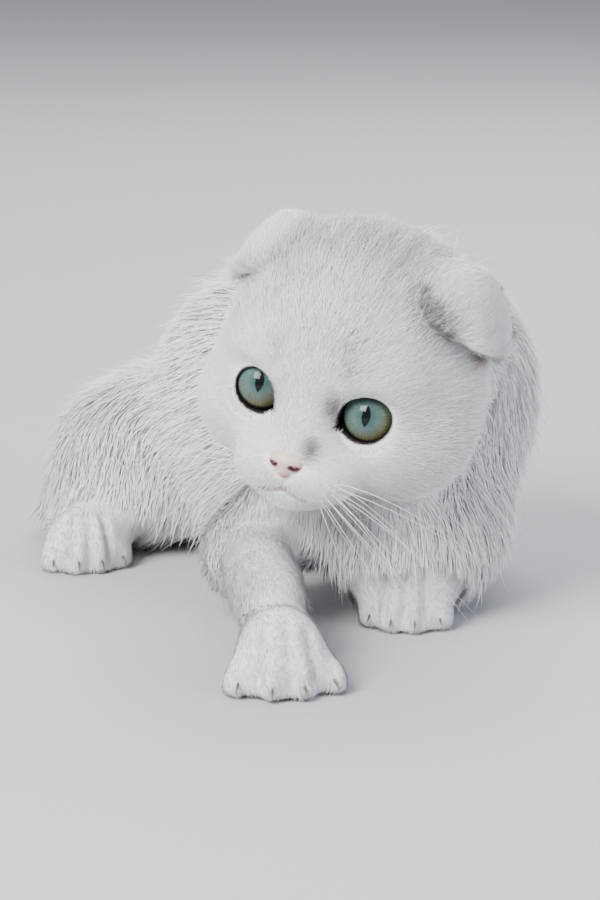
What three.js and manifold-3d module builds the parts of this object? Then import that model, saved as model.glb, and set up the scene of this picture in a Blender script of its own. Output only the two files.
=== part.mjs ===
// A life-size Scottish Fold kitten, crouched on the floor with its right forepaw reaching out, its hips low and
// its head turned to its right. Millimetres, +Z up, the floor at z = 0, the chest towards -Y and +X the cat's left.
// The body is one smooth field of blended ellipsoids and round cones, meshed whole and parted with thin cuts.
import * as THREE from "three";
import { mergeVertices } from "three/addons/utils/BufferGeometryUtils.js";
import Module from "manifold-3d";

const wasm = await Module();
wasm.setup();

// Driving dimensions
const GAP = 0.3; // left free between pieces that touch
const FACET_TOLERANCE = 0.12; // how far a needless facet may lie off before it is merged away
const MIDLINE = 7; // x of the spine
const FLOOR_SINK = 1.2; // how far each resting form reaches below the floor before it is cut flat

const EYE_MIDPOINT = [-56.2, -64.2, 72.4]; // halfway between the eyeballs, and the head frame's origin
const HEAD_TURN = -69.3; // degrees about +Z, from facing -Y towards the cat's right
const HEAD_PITCH = 6.1; // degrees, nose down
const HEAD_ROLL = 11.3; // degrees, left side down
const EYE_SPACING = 34.4; // between the eyeballs' centres
const EYEBALL_RADIUS = 9.6;
const EYE_SPLAY = 9; // degrees that each eye looks outwards
const LID_OPENING = [8.3, 7.4]; // half width and half height of the opening between the lids
const LID_TILT = 25; // degrees that the outer corner sits above the inner one
const LID_RIM = 1.15; // radius of the lids' rolled edge

const TAIL_RADIUS = 9;
const TAIL_TIP_RADIUS = 5.5;
const TOE_COUNT = 4;

const v3 = (a) => new THREE.Vector3(...a);
const degrees = THREE.MathUtils.degToRad;
const mirrored = ([x, y, z]) => [-x, y, z];
const acrossSpine = ([x, y, z]) => [2 * MIDLINE - x, y, z];

// Fields: a function of a point that is negative inside, and close to the distance near the surface
function ellipsoid(centre, radii, turn = new THREE.Quaternion()) {
  const [cx, cy, cz] = centre;
  const [rx, ry, rz] = radii;
  const back = turn.clone().invert();
  const turned = Math.abs(turn.w) < 1;
  const q = new THREE.Vector3();
  return (p) => {
    q.set(p.x - cx, p.y - cy, p.z - cz);
    if (turned) q.applyQuaternion(back);
    const scaled = Math.hypot(q.x / rx, q.y / ry, q.z / rz);
    const slope = Math.hypot(q.x / rx ** 2, q.y / ry ** 2, q.z / rz ** 2);
    return slope === 0 ? -Math.min(rx, ry, rz) : (scaled * (scaled - 1)) / slope;
  };
}

function roundCone(start, end, startRadius, endRadius) {
  const a = v3(start);
  const along = v3(end).sub(a);
  const lengthSq = along.lengthSq();
  const q = new THREE.Vector3();
  return (p) => {
    q.copy(p).sub(a);
    const t = THREE.MathUtils.clamp(q.dot(along) / lengthSq, 0, 1);
    q.addScaledVector(along, -t);
    return q.length() - THREE.MathUtils.lerp(startRadius, endRadius, t);
  };
}

// Joins fields with a fillet about as wide as `width`
const blend = (width, ...fields) => (p) =>
  fields.reduce((nearest, field) => {
    const d = field(p);
    const share = Math.max(width - Math.abs(nearest - d), 0) / width;
    return Math.min(nearest, d) - (share * share * width) / 4;
  }, 1e3);

const inflated = (field, by) => (p) => field(p) - by;

// Grid lines from lo to hi: steps of `fine` between fineFrom and fineTo, growing to `coarse` outside
function gridLines(lo, hi, fineFrom, fineTo, fine, coarse) {
  const lines = [];
  const growth = 1.4;
  for (let x = fineFrom; x <= fineTo + fine / 2; x += fine) lines.push(x);
  for (let step = fine; lines.at(-1) < hi; ) {
    step = Math.min(step * growth, coarse);
    lines.push(lines.at(-1) + step);
  }
  for (let step = fine; lines[0] > lo; ) {
    step = Math.min(step * growth, coarse);
    lines.unshift(lines[0] - step);
  }
  return lines;
}

const evenGrid = (lo, hi, step) => lo.map((low, i) => gridLines(low, hi[i], low, low + step, step, step));

function gradientAt(field, point) {
  const eps = 0.02;
  const d = field(point);
  const slopes = [0, 1, 2].map((axis) => {
    const ahead = point.clone().setComponent(axis, point.getComponent(axis) + eps);
    return (field(ahead) - d) / eps;
  });
  return v3(slopes);
}

// Moves a point to the field's surface, unless that leaves its cell
function settle(field, point, reach) {
  const moved = point.clone();
  for (let round = 0; round < 4; round++) {
    const gradient = gradientAt(field, moved);
    moved.addScaledVector(gradient, -field(moved) / Math.max(gradient.lengthSq(), 0.05));
  }
  return moved.distanceTo(point) < reach ? moved : point;
}

// The field's surface as a closed mesh: one vertex in each grid cell that it crosses, one quad for each crossed edge.
// Every vertex then moves outwards by `clearance`.
function surfaceOf(field, [xs, ys, zs], clearance = 0) {
  const size = [xs.length, ys.length, zs.length];
  const stride = [1, size[0], size[0] * size[1]];
  const values = new Float64Array(size[0] * size[1] * size[2]);
  const p = new THREE.Vector3();
  const isBorder = (i, axis) => i === 0 || i === size[axis] - 1;
  const eachPoint = (visit) => {
    for (let k = 0; k < size[2]; k++)
      for (let j = 0; j < size[1]; j++)
        for (let i = 0; i < size[0]; i++) visit([i, j, k], i + j * stride[1] + k * stride[2]);
  };
  eachPoint(([i, j, k], at) => {
    const d = field(p.set(xs[i], ys[j], zs[k]));
    const border = isBorder(i, 0) || isBorder(j, 1) || isBorder(k, 2);
    values[at] = border ? Math.max(d, 1) : d;
  });
  const corners = [0, 1, 2, 3, 4, 5, 6, 7].map((c) => [c & 1, (c >> 1) & 1, (c >> 2) & 1]);
  const cellEdges = corners.flatMap((a, ia) =>
    corners.map((b, ib) => [ia, ib]).filter(([, ib]) => ib > ia && Math.log2(ia ^ ib) % 1 === 0),
  );
  const positions = [];
  const vertexOf = new Map();
  eachPoint(([i, j, k], at) => {
    if (i === size[0] - 1 || j === size[1] - 1 || k === size[2] - 1) return;
    const cell = corners.map(([a, b, c]) => values[at + a + b * stride[1] + c * stride[2]]);
    if (cell.every((d) => d < 0) || cell.every((d) => d >= 0)) return;
    const mean = new THREE.Vector3();
    let crossings = 0;
    for (const [ia, ib] of cellEdges) {
      if (cell[ia] < 0 === cell[ib] < 0) continue;
      const t = cell[ia] / (cell[ia] - cell[ib]);
      const [a, b] = [corners[ia], corners[ib]];
      mean.x += THREE.MathUtils.lerp(xs[i + a[0]], xs[i + b[0]], t);
      mean.y += THREE.MathUtils.lerp(ys[j + a[1]], ys[j + b[1]], t);
      mean.z += THREE.MathUtils.lerp(zs[k + a[2]], zs[k + b[2]], t);
      crossings++;
    }
    mean.divideScalar(crossings);
    const reach = 0.6 * Math.min(xs[i + 1] - xs[i], ys[j + 1] - ys[j], zs[k + 1] - zs[k]);
    vertexOf.set(at, positions.length / 3);
    const vertex = settle(field, mean, reach);
    positions.push(...vertex.addScaledVector(gradientAt(field, vertex).normalize(), clearance));
  });
  const index = [];
  const corner = (n) => p.clone().fromArray(positions, 3 * n);
  eachPoint((ijk, at) => {
    for (let axis = 0; axis < 3; axis++) {
      const [u, v] = [(axis + 1) % 3, (axis + 2) % 3];
      if (ijk[axis] === size[axis] - 1 || isBorder(ijk[u], u) || isBorder(ijk[v], v)) continue;
      const inside = values[at] < 0;
      if (inside === values[at + stride[axis]] < 0) continue;
      const around = [at - stride[u] - stride[v], at - stride[v], at, at - stride[u]];
      const quad = around.map((cell) => vertexOf.get(cell));
      if (!inside) quad.reverse();
      const [a, b, c, d] = quad;
      const firstCut = corner(a).distanceTo(corner(c)) < corner(b).distanceTo(corner(d));
      index.push(...(firstCut ? [a, b, c, a, c, d] : [a, b, d, b, c, d]));
    }
  });
  const geometry = new THREE.BufferGeometry();
  geometry.setAttribute("position", new THREE.Float32BufferAttribute(positions, 3));
  return geometry.setIndex(index);
}

// Closed meshes as solids that can be joined and cut, and back
function solidOf(geometry, matrix = new THREE.Matrix4()) {
  const bare = new THREE.BufferGeometry();
  bare.setAttribute("position", geometry.getAttribute("position").clone());
  bare.setIndex(geometry.index);
  const merged = mergeVertices(bare.applyMatrix4(matrix), 1e-4);
  const vertProperties = merged.attributes.position.array;
  const triVerts = new Uint32Array(merged.index.array);
  return new wasm.Manifold(new wasm.Mesh({ numProp: 3, vertProperties, triVerts }));
}

function geometryOf(solid) {
  const { vertProperties, triVerts } = solid.getMesh();
  const geometry = new THREE.BufferGeometry();
  geometry.setAttribute("position", new THREE.BufferAttribute(vertProperties, 3));
  return geometry.setIndex(new THREE.BufferAttribute(triVerts, 1));
}

const largest = (solid) => solid.decompose().sort((a, b) => b.volume() - a.volume())[0];
const joined = (solids) => solids.reduce((a, b) => a.add(b));
const without = (solid, ...cutters) => cutters.reduce((a, b) => a.subtract(b), solid);

// The half space on the side that `normal` points to
function halfSpace(point, normal) {
  const side = 700;
  const turn = new THREE.Quaternion().setFromUnitVectors(new THREE.Vector3(0, 0, 1), v3(normal).normalize());
  const centre = v3(point).addScaledVector(v3(normal).normalize(), side / 2);
  return solidOf(
    new THREE.BoxGeometry(side, side, side),
    new THREE.Matrix4().compose(centre, turn, new THREE.Vector3(1, 1, 1)),
  );
}

function ball(centre, radii, detail, turn = new THREE.Quaternion()) {
  const matrix = new THREE.Matrix4().compose(v3(centre), turn, v3(radii));
  return solidOf(new THREE.IcosahedronGeometry(1, detail), matrix);
}

// A round bar along a curve, its radius given by a function of the share of its length
function bar(curve, radiusAt, steps, sides) {
  const frames = curve.computeFrenetFrames(steps, false);
  const positions = [];
  const index = [];
  for (let i = 0; i <= steps; i++) {
    const centre = curve.getPointAt(i / steps);
    for (let s = 0; s < sides; s++) {
      const angle = (2 * Math.PI * s) / sides;
      const out = frames.normals[i]
        .clone()
        .multiplyScalar(Math.cos(angle))
        .addScaledVector(frames.binormals[i], Math.sin(angle));
      positions.push(...centre.clone().addScaledVector(out, radiusAt(i / steps)));
    }
  }
  positions.push(...curve.getPointAt(0), ...curve.getPointAt(1));
  const [firstCap, lastCap] = [(steps + 1) * sides, (steps + 1) * sides + 1];
  for (let s = 0; s < sides; s++) {
    const next = (s + 1) % sides;
    for (let i = 0; i < steps; i++) {
      const [a, b, c, d] = [i * sides + s, i * sides + next, (i + 1) * sides + next, (i + 1) * sides + s];
      index.push(a, b, c, a, c, d);
    }
    index.push(firstCap, next, s, lastCap, steps * sides + s, steps * sides + next);
  }
  const geometry = new THREE.BufferGeometry();
  geometry.setAttribute("position", new THREE.Float32BufferAttribute(positions, 3));
  return solidOf(geometry.setIndex(index));
}

// Materials
const finish = (color, roughness) => new THREE.MeshStandardMaterial({ color, roughness, metalness: 0 });
const coat = finish("#e9e8ea", 0.9);
const innerEar = finish("#d9cfcd", 0.85);
const iris = finish("#7fa79b", 0.15);
const leather = finish("#d99a94", 0.55);

const cat = new THREE.Group();

function addNode(name, solid, material) {
  const mesh = new THREE.Mesh(geometryOf(largest(solid).simplify(FACET_TOLERANCE)), material);
  mesh.name = name;
  cat.add(mesh);
}

const aboveFloor = halfSpace([0, 0, 0], [0, 0, 1]);

// The head's frame: x to the cat's left, y backwards, z up
const headTurn = new THREE.Quaternion().setFromEuler(
  new THREE.Euler(degrees(HEAD_PITCH), degrees(HEAD_ROLL), degrees(HEAD_TURN), "ZXY"),
);
const headMatrix = new THREE.Matrix4().compose(v3(EYE_MIDPOINT), headTurn, new THREE.Vector3(1, 1, 1));
const inWorld = (solid) => solid.transform(headMatrix.elements);
const headPoint = (a) => v3(a).applyMatrix4(headMatrix).toArray();

// Head: a broad dome, full cheeks and a short muzzle
const both = (make) => [make((a) => a), make(mirrored)];
const headField = blend(
  9,
  ellipsoid([0, 26, 8], [41.5, 37.5, 40.5]),
  ...both((side) => ellipsoid(side([23, 16, -9]), [20.5, 27, 20.5])),
  ...both((side) => ellipsoid(side([16, 0, 9]), [14, 11.5, 11])),
  ellipsoid([0, -3, -15], [19, 15, 13]),
  roundCone([0, -5, 6], [0, -13.2, -11], 7.5, 5.6),
  ellipsoid([0, -9.5, -25.5], [9.5, 8.5, 5.5]),
);
const padField = blend(4, ...both((side) => ellipsoid(side([8.6, -12.6, -19.3]), [9.6, 8.2, 7])));
const eyeCentre = (side) => side([EYE_SPACING / 2, 0, 0]);
const lidField = blend(
  3,
  ...both((side) => ellipsoid(eyeCentre(side), Array(3).fill(EYEBALL_RADIUS + 1.1))),
);
const faceField = blend(5, headField, padField, lidField);
const headGrid = [
  gridLines(-50, 50, -21, 21, 3.2, 8.5),
  gridLines(-26, 68, -24, -6, 3.2, 9),
  gridLines(-38, 52, -31, 11, 3.2, 9),
];
const headWhole = solidOf(surfaceOf(faceField, headGrid));
// What the head takes out of the neck, coarsely faceted and so with a wider clearance
const headSpaceGrid = evenGrid([-55, -30, -40], [55, 75, 60], 8.5);
const headSpace = inWorld(solidOf(surfaceOf(faceField, headSpaceGrid, 3 * GAP)));

// Eyes: the eyeball's front, in a pocket of the lid opening's outline
const eyeTurn = (sign) => {
  const [tilt, splay] = [-sign * degrees(LID_TILT), sign * degrees(EYE_SPLAY)];
  return new THREE.Quaternion().setFromEuler(new THREE.Euler(0, tilt, splay, "ZXY"));
};
const EYE_BACK = 1.5; // the eye piece's flat back, in front of the eyeball's centre
function lidPrism(side, sign, clearance) {
  const depth = 30;
  const prism = new THREE.CylinderGeometry(1, 1, depth, 28).translate(0, -depth / 2 - EYE_BACK + clearance, 0);
  const scale = new THREE.Vector3(LID_OPENING[0] + clearance, 1, LID_OPENING[1] + clearance);
  return solidOf(prism, new THREE.Matrix4().compose(v3(eyeCentre(side)), eyeTurn(sign), scale));
}
function lidRim(side, sign) {
  const out = Math.sqrt(EYEBALL_RADIUS ** 2 - LID_OPENING[0] * LID_OPENING[1]);
  const [width, height] = LID_OPENING.map((half) => half + LID_RIM * 0.9);
  const ring = new THREE.TorusGeometry(1, LID_RIM / 8, 6, 28).scale(width, height, 8).rotateX(Math.PI / 2);
  ring.translate(0, -out - 0.9, 0);
  return solidOf(ring, new THREE.Matrix4().compose(v3(eyeCentre(side)), eyeTurn(sign), new THREE.Vector3(1, 1, 1)));
}
const sides = [
  ["left", 1, (a) => a],
  ["right", -1, mirrored],
];
const eyePockets = sides.map(([, sign, side]) => lidPrism(side, sign, GAP));
const lidRims = sides.map(([, sign, side]) => lidRim(side, sign));

// Nose leather: a rounded triangle with a nostril on each side
const NOSE_CENTRE = [0, -18.5, -14.2];
const noseForm = (by) =>
  joined([
    ball([0, NOSE_CENTRE[1], NOSE_CENTRE[2] + 1.1], [5.4 + by, 3.2 + by, 2.8 + by], 2),
    ball([0, NOSE_CENTRE[1] + 0.3, NOSE_CENTRE[2] - 1.6], [2.6 + by, 2.6 + by, 3.4 + by], 2),
  ]);
const nostrils = sides.map(([, sign]) =>
  ball(
    [sign * 2.9, NOSE_CENTRE[1] - 2.6, NOSE_CENTRE[2] - 0.2],
    [1.5, 1.6, 0.9],
    1,
    new THREE.Quaternion().setFromEuler(new THREE.Euler(0, sign * degrees(-28), 0)),
  ),
);

// Mouth: a groove down from the nose that parts under the two whisker pads
const groove = (points, radius) => bar(new THREE.CatmullRomCurve3(points.map(v3)), () => radius, 8, 5);
const lipLine = [
  [0, -19.2, -22.4],
  [4.5, -19.4, -25],
  [10, -17.6, -26],
  [15.5, -12.6, -25],
  [18.5, -7, -22.5],
];
const mouthGrooves = [
  groove([[0, -20.6, -16.5], [0, -20.4, -19.5], [0, -19.3, -22.6]], 0.8),
  ...sides.map(([, , side]) => groove(lipLine.map(side), 0.9)),
];

const headHollows = [...eyePockets, noseForm(GAP), ...mouthGrooves];
addNode("head", inWorld(without(joined([headWhole, ...lidRims]), ...headHollows)), coat);
addNode("nose", inWorld(without(noseForm(0), ...nostrils)), leather);
for (const [name, sign, side] of sides) {
  const globe = ball(eyeCentre(side), Array(3).fill(EYEBALL_RADIUS), 5);
  addNode(`eye_${name}`, inWorld(globe.intersect(lidPrism(side, sign, 0))), iris);
}

// Ears: a small cup whose flap rises from the base line, folds over and lies forward with its tip down
const earLines = {
  left: {
    inner: [21, 10, 34],
    outer: [40, 44, 16],
    base: [29, 32, 26],
    crest: [33.5, 28, 40],
    tip: [42.5, 12.5, 22.5],
  },
  right: {
    inner: [18, 13, 35],
    outer: [37, 41, 17],
    base: [27, 30, 27],
    crest: [29.5, 27, 42],
    tip: [38.5, 13, 27],
  },
};
const EAR_THICKNESS = 3.4;
const EAR_EDGE_THICKNESS = 1.6;
const throughMiddle = (a, middle, b) => {
  const control = v3(middle).multiplyScalar(2).addScaledVector(v3(a), -0.5).addScaledVector(v3(b), -0.5);
  return new THREE.QuadraticBezierCurve3(v3(a), control, v3(b));
};
function earShell({ inner, outer, base: baseMiddle, crest: crestMiddle, tip }, side) {
  const across = 11;
  const along = 7;
  const base = throughMiddle(inner, baseMiddle, outer);
  const crest = throughMiddle(inner, crestMiddle, outer);
  const margin = throughMiddle(inner, tip, outer);
  const middle = (u, v) => {
    const share = 0.05 + 0.9 * u;
    const [low, high, end] = [base, crest, margin].map((curve) => curve.getPoint(share));
    return throughMiddle(low.toArray(), high.toArray(), end.toArray()).getPoint(v);
  };
  const step = 1e-3;
  const sheetPoint = (u, v, face) => {
    const here = middle(u, v);
    const du = middle(u + step, v).sub(middle(u - step, v));
    const dv = middle(u, v + step).sub(middle(u, v - step));
    const thickness = THREE.MathUtils.lerp(EAR_THICKNESS, EAR_EDGE_THICKNESS, v * v);
    return here.addScaledVector(du.cross(dv).normalize(), (face * thickness) / 2);
  };
  const positions = [];
  for (const face of [1, -1])
    for (let i = 0; i <= across; i++)
      for (let j = 0; j <= along; j++) {
        const [x, y, z] = sheetPoint(i / across, j / along, face).toArray();
        positions.push(...side([x, y, z]));
      }
  const at = (face, i, j) => (face > 0 ? 0 : (across + 1) * (along + 1)) + i * (along + 1) + j;
  const index = [];
  const quad = (a, b, c, d) => index.push(a, b, c, a, c, d);
  for (let i = 0; i < across; i++)
    for (let j = 0; j < along; j++) {
      quad(at(1, i, j), at(1, i + 1, j), at(1, i + 1, j + 1), at(1, i, j + 1));
      quad(at(-1, i, j + 1), at(-1, i + 1, j + 1), at(-1, i + 1, j), at(-1, i, j));
    }
  for (let i = 0; i < across; i++) {
    quad(at(-1, i, 0), at(-1, i + 1, 0), at(1, i + 1, 0), at(1, i, 0));
    quad(at(1, i, along), at(1, i + 1, along), at(-1, i + 1, along), at(-1, i, along));
  }
  for (let j = 0; j < along; j++) {
    quad(at(1, 0, j), at(1, 0, j + 1), at(-1, 0, j + 1), at(-1, 0, j));
    quad(at(-1, across, j), at(-1, across, j + 1), at(1, across, j + 1), at(1, across, j));
  }
  if (side([1, 0, 0])[0] < 0) index.reverse();
  const geometry = new THREE.BufferGeometry();
  geometry.setAttribute("position", new THREE.Float32BufferAttribute(positions, 3));
  return solidOf(geometry.setIndex(index));
}
for (const [name, , side] of sides)
  addNode(`ear_${name}`, without(inWorld(earShell(earLines[name], side)), headSpace), innerEar);

// Limbs, as joints from the body outwards
const forelegs = {
  right: {
    shoulder: [-28, -40, 44],
    elbow: [-54, -32, 20],
    wrist: [-86, -75, 19],
    toeTip: [-111, -107, 0],
    toeSpread: 1.1,
  },
  left: {
    shoulder: [40, -38, 42],
    elbow: [34, -38, 17],
    wrist: [-9, -60, 10.5],
    toeTip: [-40, -83, 0],
    toeSpread: 0.85,
  },
};
const hindRight = { hock: [-27, 86, 11], ball: [-49, 47, 9.5], toeTip: [-61, 33, 0], toeSpread: 0.9 };
const hindLeft = {
  ...hindRight,
  hock: acrossSpine(hindRight.hock),
  ball: acrossSpine(hindRight.ball),
  toeTip: acrossSpine(hindRight.toeTip),
};
const hindLegs = { right: hindRight, left: hindLeft };
const thighCentre = { right: [-21, 56, 27], left: acrossSpine([-21, 56, 27]) };
const THIGH_RADII = [25, 34, 28.5];

// Paws: a heel pad behind four round toes, the middle two ahead
const pawFrame = (limb, from) => {
  const ahead = v3(limb.toeTip).sub(v3(from)).setZ(0).normalize();
  return { ahead, across: new THREE.Vector3(-ahead.y, ahead.x, 0) };
};
const PAW_RADII = [13.5, 14, 9.5];
function pawBase(limb, from) {
  const { ahead } = pawFrame(limb, from);
  const centre = v3(limb.toeTip).addScaledVector(ahead, -17).setZ(PAW_RADII[2] - FLOOR_SINK);
  const turn = new THREE.Quaternion().setFromAxisAngle(new THREE.Vector3(0, 0, 1), Math.atan2(ahead.x, -ahead.y));
  return ellipsoid(centre.toArray(), PAW_RADII, turn);
}
function toes(limb, from) {
  const { ahead, across } = pawFrame(limb, from);
  return Array.from({ length: TOE_COUNT }, (_, n) => {
    const place = n - (TOE_COUNT - 1) / 2;
    const outer = Math.abs(place) > 1;
    const radii = outer ? [4.7, 8.2, 6] : [5, 9.2, 6.8];
    const fan = place * 0.2 * limb.toeSpread;
    const direction = ahead.clone().applyAxisAngle(new THREE.Vector3(0, 0, 1), -fan);
    const centre = v3(limb.toeTip)
      .addScaledVector(ahead, outer ? -13.4 : -9.2)
      .addScaledVector(across, -place * 8.1 * limb.toeSpread)
      .setZ(radii[2] - FLOOR_SINK);
    const turn = new THREE.Quaternion().setFromAxisAngle(
      new THREE.Vector3(0, 0, 1),
      Math.atan2(direction.x, -direction.y),
    );
    return ellipsoid(centre.toArray(), radii, turn);
  });
}

// The trunk's field: hips, loin, shoulders, brisket and the nape's ruff, with the limbs blended in
const NAPE_CENTRE = [0, 50, 5]; // in the head's frame, like its radii
const NAPE_RADII = [39, 26, 35];
const trunkField = blend(
  16,
  ellipsoid([MIDLINE - 1, 62, 29.5], [42, 42, 31]),
  ellipsoid([MIDLINE, 14, 49], [47, 45, 50]),
  ellipsoid([MIDLINE + 4.5, -34, 59], [48.5, 43, 50]),
  ellipsoid([-10, -62, 26], [36, 27, 28]),
  ellipsoid(headPoint(NAPE_CENTRE), NAPE_RADII, headTurn),
);
const limbFields = [
  ...Object.values(forelegs).flatMap((leg) => [
    roundCone(leg.shoulder, leg.elbow, 17, 14.5),
    roundCone(leg.elbow, leg.wrist, 14, 10.8),
    pawBase(leg, leg.wrist),
  ]),
  ...Object.values(hindLegs).flatMap((leg) => [
    roundCone(leg.hock, leg.ball, 10.5, 10),
    pawBase(leg, leg.hock),
  ]),
  ...Object.values(thighCentre).map((centre) => ellipsoid(centre, THIGH_RADII)),
];
const bodyField = blend(9, trunkField, ...limbFields);

// Cutters: the space that each limb, the neck and each paw takes out of the whole body
const pawCut = (limb, from, clearance) => {
  const { ahead } = pawFrame(limb, from);
  const wrist = v3(limb.toeTip).addScaledVector(ahead, -24 - clearance);
  const centre = v3(limb.toeTip).addScaledVector(ahead, -12).setZ(6);
  const form = ball(centre.toArray(), [25, 25, 19].map((r) => r + clearance), 3);
  return halfSpace(wrist.toArray(), ahead.toArray()).intersect(form);
};
const limbCut = (fields, lo, hi, step, clearance) =>
  solidOf(surfaceOf(inflated(blend(6, ...fields), 3.2), evenGrid(lo, hi, step), clearance));
const boxAround = (points, margin) => {
  const box = new THREE.Box3().setFromPoints(points.map(v3)).expandByScalar(margin);
  return [box.min.toArray(), box.max.toArray()];
};
const forelegCut = (leg, clearance) => {
  const limb = [roundCone(leg.shoulder, leg.elbow, 13.5, 14.5), roundCone(leg.elbow, leg.wrist, 14, 12)];
  return limbCut(limb, ...boxAround([leg.shoulder, leg.elbow, leg.wrist], 22), 9, clearance);
};
const hindLegCut = (name, leg, clearance) => {
  const foot = [roundCone(leg.hock, leg.ball, 10.5, 11)];
  const outwards = name === "left" ? 1 : -1;
  const inner = [MIDLINE + outwards * (13 - clearance), 0, 0];
  const form = ball(thighCentre[name], THIGH_RADII.map((r) => r + 3 + clearance), 3);
  const thigh = form.intersect(halfSpace(inner, [outwards, 0, 0]));
  return thigh.add(limbCut(foot, ...boxAround([leg.hock, leg.ball], 18), 8, clearance));
};
const NECK_CENTRE = [-20, -45, 66];
const neckCut = (clearance) => ball(NECK_CENTRE, [36, 34, 33].map((r) => r + clearance), 3);

const trunkGrid = evenGrid([-60, -100, -10], [74, 120, 120], 10.5);
const trunkWhole = solidOf(surfaceOf(bodyField, trunkGrid)).intersect(aboveFloor);
const bodyPiece = (cutter, step, field = bodyField) => {
  const { min, max } = cutter.boundingBox();
  const grid = evenGrid([...min].map((low) => low - step), [...max].map((high) => high + step), step);
  return solidOf(surfaceOf(field, grid)).intersect(cutter).intersect(aboveFloor);
};
const pawPiece = (limb, from) =>
  bodyPiece(pawCut(limb, from, 0), 3.9, blend(2.5, bodyField, ...toes(limb, from)));

const taken = [headSpace];
const takeFrom = (solid) => without(solid, ...taken);
for (const [name, leg] of Object.entries(forelegs)) {
  addNode(`forepaw_${name}`, takeFrom(pawPiece(leg, leg.wrist)), coat);
  taken.push(pawCut(leg, leg.wrist, GAP));
  addNode(`foreleg_${name}`, takeFrom(bodyPiece(forelegCut(leg, 0), 7.3)), coat);
  taken.push(forelegCut(leg, GAP));
}
for (const [name, leg] of Object.entries(hindLegs)) {
  addNode(`hind_paw_${name}`, takeFrom(pawPiece(leg, leg.hock)), coat);
  taken.push(pawCut(leg, leg.hock, GAP));
  addNode(`hind_leg_${name}`, takeFrom(bodyPiece(hindLegCut(name, leg, 0), 9)), coat);
  taken.push(hindLegCut(name, leg, GAP));
}
addNode("neck", takeFrom(bodyPiece(neckCut(0), 10)), coat);
taken.push(neckCut(GAP));

// Tail: laid on the floor round the left side, in three lengths
const tailPoints = [
  [MIDLINE, 92, 24],
  [14, 112, 10.5],
  [36, 120, 6.9],
  [61, 114, 6.2],
  [81, 97, 5.5],
  [91, 74, 5],
  [91, 62, 4.4],
];
const tailCurve = new THREE.CatmullRomCurve3(tailPoints.map(v3));
const roundedEnd = (t) => Math.sqrt(Math.min(1, (1 - t) * 14 + 0.08));
const tailRadius = (t) => THREE.MathUtils.lerp(TAIL_RADIUS, TAIL_TIP_RADIUS, t) * roundedEnd(t);
const tailWhole = bar(tailCurve, tailRadius, 30, 12).intersect(aboveFloor);
const crossTail = (t, shift) => {
  const tangent = tailCurve.getTangentAt(t);
  const point = tailCurve.getPointAt(t).addScaledVector(tangent, shift);
  return { point: point.toArray(), normal: tangent.toArray() };
};
const tailPart = (from, to) => {
  const first = crossTail(from, GAP / 2);
  const last = crossTail(to, -GAP / 2);
  const kept = tailWhole.intersect(halfSpace(first.point, first.normal));
  return to < 1 ? kept.intersect(halfSpace(last.point, last.normal.map((c) => -c))) : kept;
};
addNode("torso", takeFrom(trunkWhole), coat);
const trunkSpace = solidOf(surfaceOf(bodyField, trunkGrid, GAP));
addNode("tail_base", without(tailPart(0, 0.36), trunkSpace), coat);
addNode("tail_middle", tailPart(0.36, 0.68), coat);
addNode("tail_tip", tailPart(0.68, 1), coat);

// The origin is under the middle of the whole cat, on the floor
const bounds = new THREE.Box3().setFromObject(cat, true);
const middle = bounds.getCenter(new THREE.Vector3());
cat.position.set(-middle.x, -middle.y, 0);

export default cat;
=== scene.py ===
"""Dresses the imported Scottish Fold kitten: one skin, a coat of fine tufts, eyes, nose, whiskers and claws.

Everything is in metres in the frame of the CAD model. The head has its own frame, in millimetres: x to the
cat's left, y backwards and z up, from the point halfway between the eyeballs.
"""

import math

import bpy
import numpy as np
import openvdb
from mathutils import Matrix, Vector
from mathutils.kdtree import KDTree


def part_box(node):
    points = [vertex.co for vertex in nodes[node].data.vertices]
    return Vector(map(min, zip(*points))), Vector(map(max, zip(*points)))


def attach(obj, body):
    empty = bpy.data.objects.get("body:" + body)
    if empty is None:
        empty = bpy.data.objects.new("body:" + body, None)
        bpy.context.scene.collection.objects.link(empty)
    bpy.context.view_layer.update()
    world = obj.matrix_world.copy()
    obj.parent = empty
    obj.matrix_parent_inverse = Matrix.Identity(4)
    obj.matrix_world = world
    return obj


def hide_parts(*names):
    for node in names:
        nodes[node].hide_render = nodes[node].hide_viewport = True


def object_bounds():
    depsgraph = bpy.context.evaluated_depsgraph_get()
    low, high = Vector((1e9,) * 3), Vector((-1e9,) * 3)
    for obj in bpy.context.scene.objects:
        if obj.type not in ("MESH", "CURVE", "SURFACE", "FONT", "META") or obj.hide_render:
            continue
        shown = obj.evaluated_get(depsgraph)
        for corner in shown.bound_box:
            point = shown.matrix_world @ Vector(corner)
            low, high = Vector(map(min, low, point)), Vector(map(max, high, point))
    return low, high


norm = np.linalg.norm
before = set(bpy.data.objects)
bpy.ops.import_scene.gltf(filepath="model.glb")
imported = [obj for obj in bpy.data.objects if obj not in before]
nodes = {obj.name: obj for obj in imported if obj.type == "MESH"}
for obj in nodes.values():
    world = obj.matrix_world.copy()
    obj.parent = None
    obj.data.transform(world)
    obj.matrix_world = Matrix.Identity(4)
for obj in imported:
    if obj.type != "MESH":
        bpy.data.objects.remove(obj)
cad_box = [list(corner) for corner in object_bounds()]

MM = 0.001
rng = np.random.default_rng(14)

# Head frame, with the same angles as the solids
HEAD_TURN = math.radians(-69.3)
HEAD_PITCH = math.radians(6.1)
HEAD_ROLL = math.radians(11.3)
SOLIDS_EYE_MIDDLE = np.array([-56.2, -64.2, 72.4])  # halfway between the eyeballs, in the solids' own frame

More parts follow.
